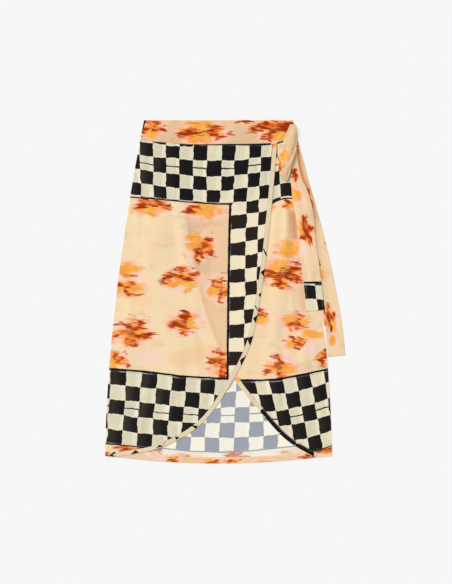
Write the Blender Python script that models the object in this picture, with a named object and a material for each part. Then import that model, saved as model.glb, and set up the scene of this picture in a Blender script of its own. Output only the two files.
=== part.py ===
"""A wrap skirt with a side tie, laid flat on a table with its front up.

Every length is in metres. X runs across the skirt, +Y runs up towards the waist and +Z up from the
table. The origin is on the table under the middle of the skirt. A place on the skirt is given by x
and by depth, the distance down from the top of the waistband.

Each cut and sewn piece is one closed wall. The pieces lie on each other in the order of a wrap
skirt: back, under panel, over panel, then the two tie ends and the knot.
"""

import math

import bpy
import numpy as np


def table(columns, *rows):
    """A short table as a dictionary from each column's name to its values."""
    return dict(zip(columns.split(), np.array(rows, float).T))


# Overall size
LENGTH = 0.779  # top of the waistband to the lowest point of the hem
WAIST_HALF = 0.169  # half the width across the top of the waistband
HEM_HALF = 0.257  # half the width across the hem's corners
SIDE_LENGTH = 0.762  # depth at which the side seams end
SIDE_POWER = 1.7  # how much faster the sides flare at the hip than at the hem
HEM_BOW = 0.018  # how far the hem hangs lower in the middle than at its corners
WAISTBAND_HEIGHT = 0.046
HEM_FOLD = 0.014  # height of the back's turned-up hem
EDGE_BAND = 0.010  # width of the band on each wrap edge

# Cloth
WALL = 0.0010  # one layer
BAND_WALL = 0.0013  # the edge bands are folded double
GAP = 0.0003  # between neighbouring pieces
LAYER = WALL + GAP
OVER_LIFT = BAND_WALL + GAP  # the over panel's step up on to the under panel and its band
TIE_LIFT = 0.0017  # the short tie's step up on to the long one
HEM_INSET = 0.0002  # how far the pieces on the back stop short of its hem

# The over panel's waistband: it dips in the middle and narrows into the knot.
OVER_WAISTBAND = table(
    "x       top     bottom",
    (-0.182, 0.0003, 0.0460),
    (-0.133, 0.0018, 0.0499),
    (-0.087, 0.0043, 0.0544),
    (-0.055, 0.0065, 0.0562),
    (0.0150, 0.0135, 0.0567),
    (0.0500, 0.0135, 0.0567),
    (0.0760, 0.0090, 0.0567),
    (0.0985, 0.0028, 0.0567),
    (0.1258, 0.0013, 0.0539),
    (0.1360, 0.0014, 0.0505),
    (0.1500, 0.0022, 0.0449),
    (0.1620, 0.0035, 0.0410),
)
WAISTBAND_END = {"top": 0.166, "bottom": 0.152}  # x of its right end, under the knot
UNDER_SHORTER = 0.0012  # how far the under waistband's top edge stays below the over one's

# The free edges of the two front panels, from the waist to the hem
OVER_EDGE = table(
    "x       depth",
    (0.1335, 0.0515),
    (0.1200, 0.2040),
    (0.0940, 0.4080),
    (0.0720, 0.5110),
    (0.0280, 0.5980),
    (-0.043, 0.6930),
    (-0.140, 0.7460),
    (-0.233, 0.7640),
)
UNDER_EDGE = table(
    "x       depth",
    (-0.090, 0.0470),
    (-0.074, 0.2270),
    (-0.044, 0.3880),
    (-0.001, 0.5140),
    (0.0420, 0.5970),
    (0.0960, 0.6630),
    (0.1550, 0.7260),
    (0.2190, 0.7650),
)

# The tie ends: the middle line and the width at each depth
LONG_TIE = table(
    "depth   x       width",
    (0.0400, 0.1690, 0.0200),
    (0.0680, 0.1715, 0.0264),
    (0.0910, 0.1750, 0.0330),
    (0.1360, 0.1840, 0.0380),
    (0.1810, 0.1965, 0.0400),
    (0.2720, 0.2205, 0.0415),
    (0.3170, 0.2310, 0.0420),
    (0.4080, 0.2495, 0.0420),
    (0.4715, 0.2612, 0.0405),
    (0.5360, 0.2680, 0.0410),
)
SHORT_TIE = table(
    "depth   x       width",
    (0.0680, 0.1725, 0.0100),
    (0.0910, 0.1738, 0.0115),
    (0.1130, 0.1741, 0.0190),
    (0.1360, 0.1765, 0.0260),
    (0.1590, 0.1828, 0.0350),
    (0.1810, 0.1877, 0.0400),
    (0.2080, 0.1940, 0.0410),
    (0.2670, 0.2005, 0.0400),
    (0.3420, 0.2100, 0.0400),
    (0.4320, 0.2205, 0.0410),
)
PLEAT_HEIGHT = 0.0013  # two lengthwise pleats of the short tie, below the knot

# The two turns of the knot: left and right sides at each depth
KNOT_WRAP = table(
    "depth   left    right",
    (0.0100, 0.1632, 0.1745),
    (0.0230, 0.1589, 0.1784),
    (0.0360, 0.1541, 0.1800),
    (0.0500, 0.1476, 0.1784),
    (0.0630, 0.1421, 0.1762),
    (0.0770, 0.1380, 0.1682),
    (0.0910, 0.1349, 0.1612),
    (0.1040, 0.1346, 0.1523),
    (0.1165, 0.1370, 0.1402),
)
KNOT_FOLD = table(
    "depth   left    right",
    (0.0635, 0.1750, 0.1780),
    (0.0795, 0.1655, 0.1738),
    (0.0885, 0.1610, 0.1712),
    (0.0985, 0.1550, 0.1684),
    (0.1090, 0.1465, 0.1655),
    (0.1175, 0.1390, 0.1634),
    (0.1290, 0.1428, 0.1598),
    (0.1390, 0.1520, 0.1560),
)
WRAP_CROWN = 0.0050  # how far each turn bulges
FOLD_CROWN = 0.0030
KNOT_LOW = {"waistband": 0.0046, "ties": 0.0057, "wrap": 0.0086}  # underside on each of these

# Long soft folds of the front panels, each from its upper end to its lower end
OVER_FOLDS = table(
    "x_upper x_lower upper  lower  half_width height",
    (-0.148, -0.165, 0.120, 0.560, 0.030, 0.0024),
    (-0.070, -0.098, 0.250, 0.700, 0.026, 0.0020),
    (0.0100, 0.0280, 0.090, 0.400, 0.024, 0.0016),
    (-0.205, -0.212, 0.420, 0.730, 0.022, 0.0018),
)
UNDER_FOLDS = table(
    "x_upper x_lower upper  lower  half_width height",
    (0.1460, 0.1500, 0.150, 0.470, 0.014, 0.0032),
    (0.1880, 0.2030, 0.430, 0.640, 0.017, 0.0030),
    (0.1280, 0.1220, 0.420, 0.650, 0.018, 0.0024),
)
FOLD_FADE = 0.35  # share of a fold's length over which it rises or dies away
FOLD_CLEAR = 0.011  # a fold also dies away over this distance from a piece that lies on the panel
SHORT_TIE_CLEAR = 0.028  # from the short tie's middle line to where that begins

# Gathers of the over waistband: ridges that run out from the knot, by their angle below level
KNOT_CENTRE = {"x": 0.170, "depth": 0.004}
GATHER_ANGLES = (8, 22, 35, 50)  # degrees
GATHER_HALF_ANGLE = 4.5
GATHER_HEIGHT = 0.0014
GATHER_FADE = (0.035, 0.085)  # distances from the knot between which they die away

# Soft steps from one height to another, each with the places where it begins and ends
UNDER_STEP = (-0.032, -0.016)  # before the under panel's hidden edge
HEM_STEP = (-0.034, -0.016)  # above the back's turned-up hem
SIDE_DROP = (0.0008, 0.0188)  # past the skirt's right side edge
LONG_TIE_STEP = (-0.017, -0.007)  # before the long tie's left side
WRAP_TIE_STEP = (-0.012, -0.003)
WRAP_TIE_DEPTH = (0.044, 0.054)  # depths, from here on
WRAP_OFF_WAISTBAND = (0.056, 0.070)
TURN_LOWERS = (0.116, 0.134)
PLEAT_RISE = (0.138, 0.162)
PLEAT_FADE = (0.162, 0.250)
TIE_ON_TABLE = (0.476, 0.521)

# How finely each wall is divided. A panel's columns stand closer near its wrap edge.
PANEL_COLUMNS = 28
PANEL_SHARES = 1 - (1 - np.linspace(0, 1, PANEL_COLUMNS)) ** 1.25
PANEL_ROWS = 26
EDGE_STEPS = 58
KNOT_COLUMNS = 9  # of the over waistband, between the wrap edge and its end in the knot

PRINT = {"name": "print", "colour": (0.87, 0.66, 0.40), "roughness": 0.75}
INSIDE = {"name": "print inside", "colour": (0.80, 0.72, 0.60), "roughness": 0.80}
BANDS = {"name": "printed band", "colour": (0.62, 0.45, 0.27), "roughness": 0.75}


# ---------------------------------------------------------------- curves and outlines


def ramp(value, start, end):
    """0 up to start, 1 from end on, and an S curve between them."""
    t = np.clip((value - start) / (end - start), 0, 1)
    return t * t * (3 - 2 * t)


def between(first, second, share):
    return first + (second - first) * share


def through(at, stations, values):
    """A smooth curve through (stations, values). Its slope at a station is that of its neighbours."""
    slopes = np.gradient(values, stations)
    i = np.clip(np.searchsorted(stations, at) - 1, 0, len(stations) - 2)
    span = stations[i + 1] - stations[i]
    t = np.clip((at - stations[i]) / span, 0, 1)
    start = (1 - t) ** 2 * ((1 + 2 * t) * values[i] + t * span * slopes[i])
    end = t**2 * ((3 - 2 * t) * values[i + 1] - (1 - t) * span * slopes[i + 1])
    return start + end


def distance_along(points):
    """Distance from the first point to each point of a line."""
    return np.concatenate(([0], np.cumsum(np.linalg.norm(np.diff(points, axis=0), axis=1))))


def evenly_along(points, count):
    """count points at equal distances along a line given by many points."""
    run = distance_along(points)
    at = np.linspace(0, run[-1], count)
    return np.column_stack([np.interp(at, run, points[:, k]) for k in (0, 1)])


def edge_line(edge, count=600):
    """The smooth free edge of a front panel as (x, depth) points."""
    corners = np.column_stack((edge["x"], edge["depth"]))
    run = distance_along(corners)
    at = np.linspace(0, run[-1], count)
    return evenly_along(np.column_stack([through(at, run, corners[:, k]) for k in (0, 1)]), count)


def beside(line, distance):
    """The line moved sideways: a positive distance moves a line that runs down the skirt to +X."""
    along = np.gradient(line, axis=0)
    along /= np.linalg.norm(along, axis=1)[:, None]
    return line + distance * np.column_stack((along[:, 1], -along[:, 0]))


def half_width(depth):
    """Half the skirt's width: it flares fast at the hip and runs nearly straight at the hem."""
    left_over = 1 - np.clip(depth / SIDE_LENGTH, 0, 1)
    return between(WAIST_HALF, HEM_HALF, 1 - left_over**SIDE_POWER)


def hem_depth(x):
    """Depth of the hem, a shallow bow."""
    return LENGTH - HEM_BOW * (x / HEM_HALF) ** 2


def over_seam_depth(x):
    """Depth of the seam under the over waistband."""
    return through(x, OVER_WAISTBAND["x"], OVER_WAISTBAND["bottom"])


def under_seam_depth(x):
    """Depth of the under panel's waist seam, which is straight."""
    return 0 * x + WAISTBAND_HEIGHT


def over_top_depth(x):
    """Depth of the over waistband's top edge."""
    return through(x, OVER_WAISTBAND["x"], OVER_WAISTBAND["top"])


def tie_middle(tie, depth):
    return through(depth, tie["depth"], tie["x"])


def tie_width(tie, depth):
    return through(depth, tie["depth"], tie["width"])


def long_tie_side(depth):
    """x of the long tie's left side."""
    return tie_middle(LONG_TIE, depth) - tie_width(LONG_TIE, depth) / 2


OVER_LINE = edge_line(OVER_EDGE)
UNDER_LINE = edge_line(UNDER_EDGE)


# ---------------------------------------------------------------- heights above the table


def folds(x, depth, rows):
    """Soft ridges: each is a bell across its line, and rises and dies away along it."""
    height = np.zeros(np.shape(x))
    for k in range(len(rows["height"])):
        fold = {column: values[k] for column, values in rows.items()}
        along = (depth - fold["upper"]) / (fold["lower"] - fold["upper"])
        line = between(fold["x_upper"], fold["x_lower"], np.clip(along, 0, 1))
        fade = ramp(along, 0, FOLD_FADE) * ramp(1 - along, 0, FOLD_FADE)
        height += fold["height"] * fade * np.exp(-(((x - line) / fold["half_width"]) ** 2))
    return height


def on_hem_fold(x, depth):
    """1 over the back's turned-up hem, 0 well above it."""
    return ramp(depth - (hem_depth(x) - HEM_FOLD), *HEM_STEP)


def on_under_panel(x, depth):
    """1 over the under panel, 0 well to the left of its hidden edge."""
    slope = np.gradient(UNDER_LINE[:, 0], UNDER_LINE[:, 1])
    edge = np.interp(depth, UNDER_LINE[:, 1], UNDER_LINE[:, 0])
    lean = np.interp(depth, UNDER_LINE[:, 1], 1 / np.sqrt(1 + slope**2))
    return ramp((x - edge) * lean, *UNDER_STEP)


def under_low(x, depth):
    """Underside of the under panel. Its folds stay clear of the over panel and of the ties."""
    left = np.interp(depth, OVER_LINE[:, 1], OVER_LINE[:, 0])
    short_tie = tie_middle(SHORT_TIE, depth) - SHORT_TIE_CLEAR
    right = np.where(depth < SHORT_TIE["depth"][-1], short_tie, half_width(depth))
    clear = ramp(x - left, 0, FOLD_CLEAR) * ramp(right - x, 0, FOLD_CLEAR)
    return LAYER * (1 + on_hem_fold(x, depth)) + clear * folds(x, depth, UNDER_FOLDS)


def over_low(x, depth):
    """Underside of the over panel: it steps up on to the under panel and the back's hem."""
    step = OVER_LIFT * on_under_panel(x, depth) + LAYER * on_hem_fold(x, depth)
    return LAYER + step + folds(x, depth, OVER_FOLDS)


def gathers(x, depth):
    """Ridges of the over waistband that run out from the knot and die away."""
    across = KNOT_CENTRE["x"] - x
    down = depth - KNOT_CENTRE["depth"]
    angle = np.degrees(np.arctan2(down, across))
    ridge = sum(np.exp(-(((angle - at) / GATHER_HALF_ANGLE) ** 2)) for at in GATHER_ANGLES)
    fade = 1 - ramp(np.hypot(across, down), *GATHER_FADE)
    wrap_side = through(depth, KNOT_WRAP["depth"], KNOT_WRAP["left"])
    return GATHER_HEIGHT * ridge * fade * ramp(wrap_side - x, 0, FOLD_CLEAR)


def drop_off_side(x, depth):
    """1 on the skirt, falling to 0 just past its right side edge."""
    return 1 - ramp(x - half_width(depth), *SIDE_DROP)


def long_tie_low(x, depth):
    """Underside of the long tie: on the under panel, then over the side edge and on the table."""
    return 2 * LAYER * drop_off_side(x, depth) * (1 - ramp(depth, *TIE_ON_TABLE))


def short_tie_low(x, depth):
    """Underside of the short tie: on the under panel, with its right half on the long tie, and with
    two lengthwise pleats that die away below the knot."""
    on_long = TIE_LIFT * ramp(x - long_tie_side(depth), *LONG_TIE_STEP)
    across = (x - tie_middle(SHORT_TIE, depth)) / tie_width(SHORT_TIE, depth)
    pleats = PLEAT_HEIGHT * np.sin(2 * math.pi * across) ** 2
    pleats = pleats * ramp(depth, *PLEAT_RISE) * (1 - ramp(depth, *PLEAT_FADE))
    return 2 * LAYER * drop_off_side(x, depth) + on_long + pleats


def knot_wrap_low(x, depth):
    """Underside of the knot's main turn: on the over waistband, then on the under panel and ties."""
    base = between(KNOT_LOW["waistband"], 2 * LAYER, ramp(depth, *WRAP_OFF_WAISTBAND))
    on_ties = ramp(x - long_tie_side(depth), *WRAP_TIE_STEP) * ramp(depth, *WRAP_TIE_DEPTH)
    return np.maximum(base, KNOT_LOW["ties"] * on_ties)


def knot_fold_low(x, depth):
    """Underside of the small turn: on the main turn's edge, then lower on the short tie."""
    return 0 * x + between(KNOT_LOW["wrap"], KNOT_LOW["ties"], ramp(depth, *TURN_LOWERS))


# ---------------------------------------------------------------- making the walls


def material(finish):
    made = bpy.data.materials.get(finish["name"]) or bpy.data.materials.new(finish["name"])
    made.use_nodes = True
    shader = made.node_tree.nodes["Principled BSDF"]
    shader.inputs["Base Color"].default_value = (*finish["colour"], 1)
    shader.inputs["Roughness"].default_value = finish["roughness"]
    shader.inputs["Metallic"].default_value = 0
    return made


def wall(name, x, depth, low, thickness, finish):
    """A closed wall over a grid of (x, depth) places: an underside at low, and a top that is the
    thickness away from it, measured square to the cloth, with a rim round the four sides."""
    rows, columns = x.shape
    under = np.stack((x, LENGTH / 2 - depth, low), axis=-1)
    rightwards = 1 if x[0, -1] > x[0, 0] else -1
    under = under[:, ::rightwards]
    thickness = np.broadcast_to(thickness, x.shape)[:, ::rightwards]
    normal = np.cross(np.gradient(under, axis=1), np.gradient(under, axis=0))
    level = np.abs(normal[..., 2]) / np.linalg.norm(normal, axis=-1)
    top = under + (thickness / level)[..., None] * np.array((0, 0, 1))
    points = np.concatenate((under.reshape(-1, 3), top.reshape(-1, 3)))

    index = np.arange(rows * columns).reshape(rows, columns)
    cells = (index[:-1, :-1], index[:-1, 1:], index[1:, 1:], index[1:, :-1])
    lower = np.stack(cells, axis=-1).reshape(-1, 4)
    upper = lower[:, ::-1] + index.size
    ring = np.concatenate((index[0, :-1], index[:-1, -1], index[-1, :0:-1], index[:0:-1, 0]))
    onward = np.roll(ring, -1)
    rim = np.column_stack((onward, ring, ring + index.size, onward + index.size))

    mesh = bpy.data.meshes.new(name)
    mesh.from_pydata(points.tolist(), [], np.concatenate((lower, upper, rim)).tolist())
    mesh.materials.append(material(finish))
    mesh.shade_smooth()
    mesh.set_sharp_from_angle(angle=math.radians(40))
    bpy.context.scene.collection.objects.link(bpy.data.objects.new(name, mesh))


def grid(rows, columns):
    """Two arrays that run from 0 to 1, down the rows and across the columns."""
    return np.meshgrid(np.linspace(0, 1, rows), np.linspace(0, 1, columns), indexing="ij")


def back_pieces():
    """The back panel, its turned-up hem and its half of the waistband, all flat."""
    down, across = grid(15, 13)
    side = between(WAISTBAND_HEIGHT + GAP, SIDE_LENGTH, down)
    x = (2 * across - 1) * half_width(side)
    depth = side + (hem_depth(x) - SIDE_LENGTH) * down
    wall("back_panel", x, depth, 0 * x, WALL, INSIDE)

    down, across = grid(2, 27)
    x = (2 * across - 1) * (HEM_HALF - 3 * HEM_INSET)
    depth = hem_depth(x) - HEM_INSET - HEM_FOLD * (1 - down)
    wall("back_hem_fold", x, depth, 0 * x + LAYER, WALL, PRINT)

    down, across = grid(3, 9)
    depth = WAISTBAND_HEIGHT * down
    x = (2 * across - 1) * half_width(depth)
    wall("back_waistband", x, depth, 0 * x, WALL, INSIDE)


def front_panel(name, side, inner_line, seam_depth, low):
    """A front panel. Each row runs from the side seam to a point of the wrap edge's inner line, and
    the last row is the short stretch of hem between them."""
    hem_end_x = inner_line[-1, 0] + side * (GAP + 3 * HEM_INSET)
    hem_end = np.array([[hem_end_x, hem_depth(hem_end_x) - HEM_INSET]])
    edge = np.concatenate((evenly_along(inner_line, PANEL_ROWS - 1), hem_end))
    edge[0, 1] = seam_depth(edge[0, 0]) + GAP
    down = np.linspace(0, 1, PANEL_ROWS)[:, None]
    side_seam = seam_depth(side * half_width(WAISTBAND_HEIGHT)) + GAP
    side_depth = between(side_seam, SIDE_LENGTH, down)
    x = between(side * half_width(side_depth), edge[:, :1], PANEL_SHARES)
    depth = between(side_depth, edge[:, 1:], PANEL_SHARES)
    seam_bow = seam_depth(x[:1]) + GAP - depth[:1]
    depth = depth + seam_bow * (1 - down) ** 4
    wall(name, x, depth, low(x, depth), WALL, PRINT)


def edge_band(name, line, distance, seam_depth, low):
    """The narrow band from a panel's free edge inwards, two cells wide."""
    line = evenly_along(line, EDGE_STEPS)
    strips = [beside(line, distance * share) for share in (0, 0.5, 1)]
    x = np.stack([strip[:, 0] for strip in strips], axis=1)
    depth = np.stack([strip[:, 1] for strip in strips], axis=1)
    depth[0] = seam_depth(x[0]) + GAP
    depth = np.minimum(depth, hem_depth(x) - HEM_INSET)
    wall(name, x, depth, low(x, depth), BAND_WALL, BANDS)


def under_pieces():
    """The under panel, its edge band and its waistband, which the over one hides."""
    edge_band("under_edge_band", UNDER_LINE, EDGE_BAND, under_seam_depth, under_low)
    inner = beside(UNDER_LINE, EDGE_BAND + GAP)
    front_panel("under_panel", 1, inner, under_seam_depth, under_low)

    down, across = grid(4, 14)
    left = UNDER_EDGE["x"][0]
    x = between(left, half_width(WAISTBAND_HEIGHT * down), across)
    depth = between(over_top_depth(x) + UNDER_SHORTER, WAISTBAND_HEIGHT, down)
    x = between(left, half_width(depth), across)
    wall("under_waistband", x, depth, 0 * x + LAYER, WALL, PRINT)


def over_pieces():
    """The over panel, its edge band and its gathered waistband, whose columns meet the panel's."""
    edge_band("over_edge_band", OVER_LINE, -EDGE_BAND, over_seam_depth, over_low)
    inner = beside(OVER_LINE, -(EDGE_BAND + GAP))
    front_panel("over_panel", -1, inner, over_seam_depth, over_low)

    start = -half_width(WAISTBAND_HEIGHT)
    panel_x = between(start, inner[0, 0], PANEL_SHARES)
    band_x = OVER_LINE[0, 0] - EDGE_BAND * np.array((1, 0.5, 0))
    knot_x = np.linspace(OVER_LINE[0, 0], WAISTBAND_END["bottom"], KNOT_COLUMNS)[1:]
    seam_x = np.concatenate((panel_x, band_x, knot_x))
    top_x = between(-WAIST_HALF, WAISTBAND_END["top"], (seam_x - start) / (seam_x[-1] - start))
    down = np.linspace(0, 1, 13)[:, None]
    x = between(top_x, seam_x, down)
    depth = between(over_top_depth(top_x), over_seam_depth(seam_x), down)
    low = LAYER + OVER_LIFT * on_under_panel(x, depth) + gathers(x, depth)
    wall("over_waistband", x, depth, low, WALL, PRINT)


def tie_end(name, tie, low, rows, columns):
    """A tie: a strip of the table's width, square to its middle line."""
    down, across = grid(rows, columns)
    depth = between(tie["depth"][0], tie["depth"][-1], down)
    middle = tie_middle(tie, depth)
    lean = np.gradient(middle[:, 0], depth[:, 0])[:, None]
    offset = (across - 0.5) * tie_width(tie, depth) / np.sqrt(1 + lean**2)
    x = middle + offset
    depth = depth - offset * lean
    wall(name, x, depth, low(x, depth), WALL, PRINT)


def knot_turn(name, turn, low, crown, rows, columns):
    """A turn of the knot: a rounded body between its left and right sides, over the folds that it
    hides, thick in the middle and thin at its edge."""
    down, across = grid(rows, columns)
    depth = between(turn["depth"][0], turn["depth"][-1], down)
    left = through(depth, turn["depth"], turn["left"])
    right = through(depth, turn["depth"], turn["right"])
    x = between(left, right, across)
    bulge = crown * 4 * across * (1 - across) * np.sqrt(4 * down * (1 - down))
    wall(name, x, depth, low(x, depth), WALL + bulge, PRINT)


def tie_and_knot():
    """Both tie ends and the knot's two turns, from the lowest to the highest."""
    tie_end("tie_long", LONG_TIE, long_tie_low, 44, 8)
    tie_end("tie_short", SHORT_TIE, short_tie_low, 34, 9)
    knot_turn("knot_wrap", KNOT_WRAP, knot_wrap_low, WRAP_CROWN, 22, 11)
    knot_turn("knot_fold", KNOT_FOLD, knot_fold_low, FOLD_CROWN, 15, 7)


def main():
    for old in list(bpy.data.objects):
        bpy.data.objects.remove(old)
    back_pieces()
    under_pieces()
    over_pieces()
    tie_and_knot()


main()
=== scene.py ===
"""The looks of a wrap skirt that lies flat on a pale floor with its front up.

Everything is in metres in the frame of the solids: X across the skirt, +Y up towards the waist, +Z
up from the floor. A place on the skirt is given by x and by depth, the distance down from the top
of the waistband. Each piece of cloth is a fine wall on the form of the solid that it replaces, and
carries the coordinates of its print as attributes of its points.
"""

import math

import bpy
import numpy as np
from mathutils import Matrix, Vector


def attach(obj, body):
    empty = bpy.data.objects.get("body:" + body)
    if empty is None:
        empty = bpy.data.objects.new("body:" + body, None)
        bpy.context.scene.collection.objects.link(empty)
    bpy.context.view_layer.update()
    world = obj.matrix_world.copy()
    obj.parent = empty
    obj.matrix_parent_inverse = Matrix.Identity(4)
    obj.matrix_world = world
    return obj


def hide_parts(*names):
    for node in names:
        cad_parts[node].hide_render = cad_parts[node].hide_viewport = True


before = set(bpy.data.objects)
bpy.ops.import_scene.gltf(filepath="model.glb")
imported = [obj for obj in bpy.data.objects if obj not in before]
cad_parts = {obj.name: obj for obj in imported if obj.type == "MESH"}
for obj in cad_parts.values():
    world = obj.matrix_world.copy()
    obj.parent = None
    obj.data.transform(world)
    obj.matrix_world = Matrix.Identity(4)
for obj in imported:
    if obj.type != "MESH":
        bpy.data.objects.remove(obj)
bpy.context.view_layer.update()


def table(columns, *rows):
    """A short table as a dictionary from each column's name to its values."""
    return dict(zip(columns.split(), np.array(rows, float).T))


def named_rows(columns, **rows):
    """A short table as a dictionary from each row's name to its values by column."""
    return {name: dict(zip(columns.split(), row)) for name, row in rows.items()}


# ---------------------------------------------------------------- sizes of the skirt, as its solids

LENGTH = 0.779  # top of the waistband to the lowest point of the hem
WAIST_HALF = 0.169
HEM_HALF = 0.257
SIDE_LENGTH = 0.762  # depth at which the side seams end
SIDE_POWER = 1.7
HEM_BOW = 0.018
WAISTBAND_HEIGHT = 0.046
HEM_FOLD = 0.014
EDGE_BAND = 0.010

WALL = 0.0010
BAND_WALL = 0.0013
GAP = 0.0003
LAYER = WALL + GAP
OVER_LIFT = BAND_WALL + GAP
TIE_LIFT = 0.0017
HEM_INSET = 0.0002

OVER_WAISTBAND = table(
    "x       top     bottom",
    (-0.182, 0.0003, 0.0460),
    (-0.133, 0.0018, 0.0499),
    (-0.087, 0.0043, 0.0544),
    (-0.055, 0.0065, 0.0562),
    (0.0150, 0.0135, 0.0567),
    (0.0500, 0.0135, 0.0567),
    (0.0760, 0.0090, 0.0567),
    (0.0985, 0.0028, 0.0567),
    (0.1258, 0.0013, 0.0539),
    (0.1360, 0.0014, 0.0505),
    (0.1500, 0.0022, 0.0449),
    (0.1620, 0.0035, 0.0410),
)
WAISTBAND_END = {"top": 0.166, "bottom": 0.152}
UNDER_SHORTER = 0.0012

OVER_EDGE = table(
    "x       depth",
    (0.1335, 0.0515),
    (0.1200, 0.2040),
    (0.0940, 0.4080),
    (0.0720, 0.5110),
    (0.0280, 0.5980),
    (-0.043, 0.6930),
    (-0.140, 0.7460),
    (-0.233, 0.7640),
)
UNDER_EDGE = table(
    "x       depth",
    (-0.090, 0.0470),
    (-0.074, 0.2270),
    (-0.044, 0.3880),
    (-0.001, 0.5140),
    (0.0420, 0.5970),
    (0.0960, 0.6630),
    (0.1550, 0.7260),
    (0.2190, 0.7650),
)
LONG_TIE = table(
    "depth   x       width",
    (0.0400, 0.1690, 0.0200),
    (0.0680, 0.1715, 0.0264),
    (0.0910, 0.1750, 0.0330),
    (0.1360, 0.1840, 0.0380),
    (0.1810, 0.1965, 0.0400),
    (0.2720, 0.2205, 0.0415),
    (0.3170, 0.2310, 0.0420),
    (0.4080, 0.2495, 0.0420),
    (0.4715, 0.2612, 0.0405),
    (0.5360, 0.2680, 0.0410),
)
SHORT_TIE = table(
    "depth   x       width",
    (0.0680, 0.1725, 0.0100),
    (0.0910, 0.1738, 0.0115),
    (0.1130, 0.1741, 0.0190),
    (0.1360, 0.1765, 0.0260),
    (0.1590, 0.1828, 0.0350),
    (0.1810, 0.1877, 0.0400),
    (0.2080, 0.1940, 0.0410),
    (0.2670, 0.2005, 0.0400),
    (0.3420, 0.2100, 0.0400),
    (0.4320, 0.2205, 0.0410),
)
PLEAT_HEIGHT = 0.0013
KNOT_WRAP = table(
    "depth   left    right",
    (0.0100, 0.1622, 0.1745),
    (0.0230, 0.1569, 0.1784),
    (0.0360, 0.1516, 0.1800),
    (0.0500, 0.1454, 0.1784),
    (0.0630, 0.1408, 0.1762),
    (0.0770, 0.1380, 0.1682),
    (0.0910, 0.1349, 0.1612),
    (0.1040, 0.1346, 0.1523),
    (0.1165, 0.1370, 0.1402),
)
KNOT_FOLD = table(
    "depth   left    right",
    (0.0635, 0.1750, 0.1780),
    (0.0795, 0.1655, 0.1738),
    (0.0885, 0.1610, 0.1712),
    (0.0985, 0.1550, 0.1684),
    (0.1090, 0.1465, 0.1655),
    (0.1175, 0.1390, 0.1634),
    (0.1290, 0.1428, 0.1598),
    (0.1390, 0.1520, 0.1560),
)
WRAP_CROWN = 0.0050
FOLD_CROWN = 0.0030
KNOT_LOW = {"waistband": 0.0046, "ties": 0.0057, "wrap": 0.0086}

FOLD_COLUMNS = "x_upper x_lower upper lower half_width height"
OVER_FOLDS = table(
    FOLD_COLUMNS,
    (-0.148, -0.165, 0.120, 0.560, 0.030, 0.0024),
    (-0.070, -0.098, 0.250, 0.700, 0.026, 0.0020),
    (0.0100, 0.0280, 0.090, 0.400, 0.024, 0.0016),
    (-0.205, -0.212, 0.420, 0.730, 0.022, 0.0018),
)
UNDER_FOLDS = table(
    FOLD_COLUMNS,
    (0.1460, 0.1500, 0.150, 0.470, 0.014, 0.0032),
    (0.1880, 0.2030, 0.430, 0.640, 0.017, 0.0030),
    (0.1280, 0.1220, 0.420, 0.650, 0.018, 0.0024),
)
FOLD_FADE = 0.35
FOLD_CLEAR = 0.011
SHORT_TIE_CLEAR = 0.028

KNOT_CENTRE = {"x": 0.170, "depth": 0.004}
GATHER_ANGLES = (8, 22, 35, 50)
GATHER_HALF_ANGLE = 4.5
GATHER_HEIGHT = 0.0014
GATHER_FADE = (0.035, 0.085)

UNDER_STEP = (-0.032, -0.016)
HEM_STEP = (-0.034, -0.016)
SIDE_DROP = (0.0008, 0.0188)
LONG_TIE_STEP = (-0.017, -0.007)
WRAP_TIE_STEP = (-0.012, -0.003)
WRAP_TIE_DEPTH = (0.044, 0.054)
WRAP_OFF_WAISTBAND = (0.056, 0.070)
TURN_LOWERS = (0.116, 0.134)
PLEAT_RISE = (0.138, 0.162)
PLEAT_FADE = (0.162, 0.250)
TIE_ON_TABLE = (0.476, 0.521)

# ---------------------------------------------------------------- sizes of the finer form

SIDE_BOW = {"in": 0.0032, "depth": 0.464, "half": 0.036, "ease": 3}  # ease: over the panel's width
CLOTH = 0.0009  # thickness of one layer of the fine cloth
BACK_CLOTH = 0.0007  # the back is thinner, so that its creases stay below what lies on it
BAND_CLOTH = 0.0010
BAND_DROOP = 0.0005  # how far the free edge of an edge band sinks towards what it lies on
EDGE_ROUND = 0.0011  # how far in from a turned edge the cloth rounds down
RIM = 0.00025  # thickness left at a rounded edge
FINE_EDGE = (0.0, 0.18, 0.5, 1.0)  # places of extra points near an edge, in rounding radii
RIPPLE = 0.00016  # height of the slow waves of the over panel
SEAM_EASE = 4  # power by which a front panel's rows lose the bow of its waist seam

# The grid of each piece. The sizes only place the extra points at its turned edges. A length of None
# is worked out where the piece is made.
GRIDS = named_rows(
    "length width rows columns",
    back_panel=(0.720, 0.50, 150, 110),
    back_hem=(HEM_FOLD, 0.50, 6, 160),
    back_waistband=(WAISTBAND_HEIGHT, 0.34, 12, 120),
    edge_band=(None, EDGE_BAND, 420, 7),
    under_panel=(None, 0.30, 240, 120),
    under_waistband=(0.040, 0.26, 10, 60),
    over_panel=(None, 0.30, 260, 150),
    over_waistband=(0.045, 0.34, 30, 200),
    tie_long=(None, 0.04, 220, 24),
    tie_short=(None, 0.04, 190, 28),
    turn=(0.100, 0.03, 96, 48),
)

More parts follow.
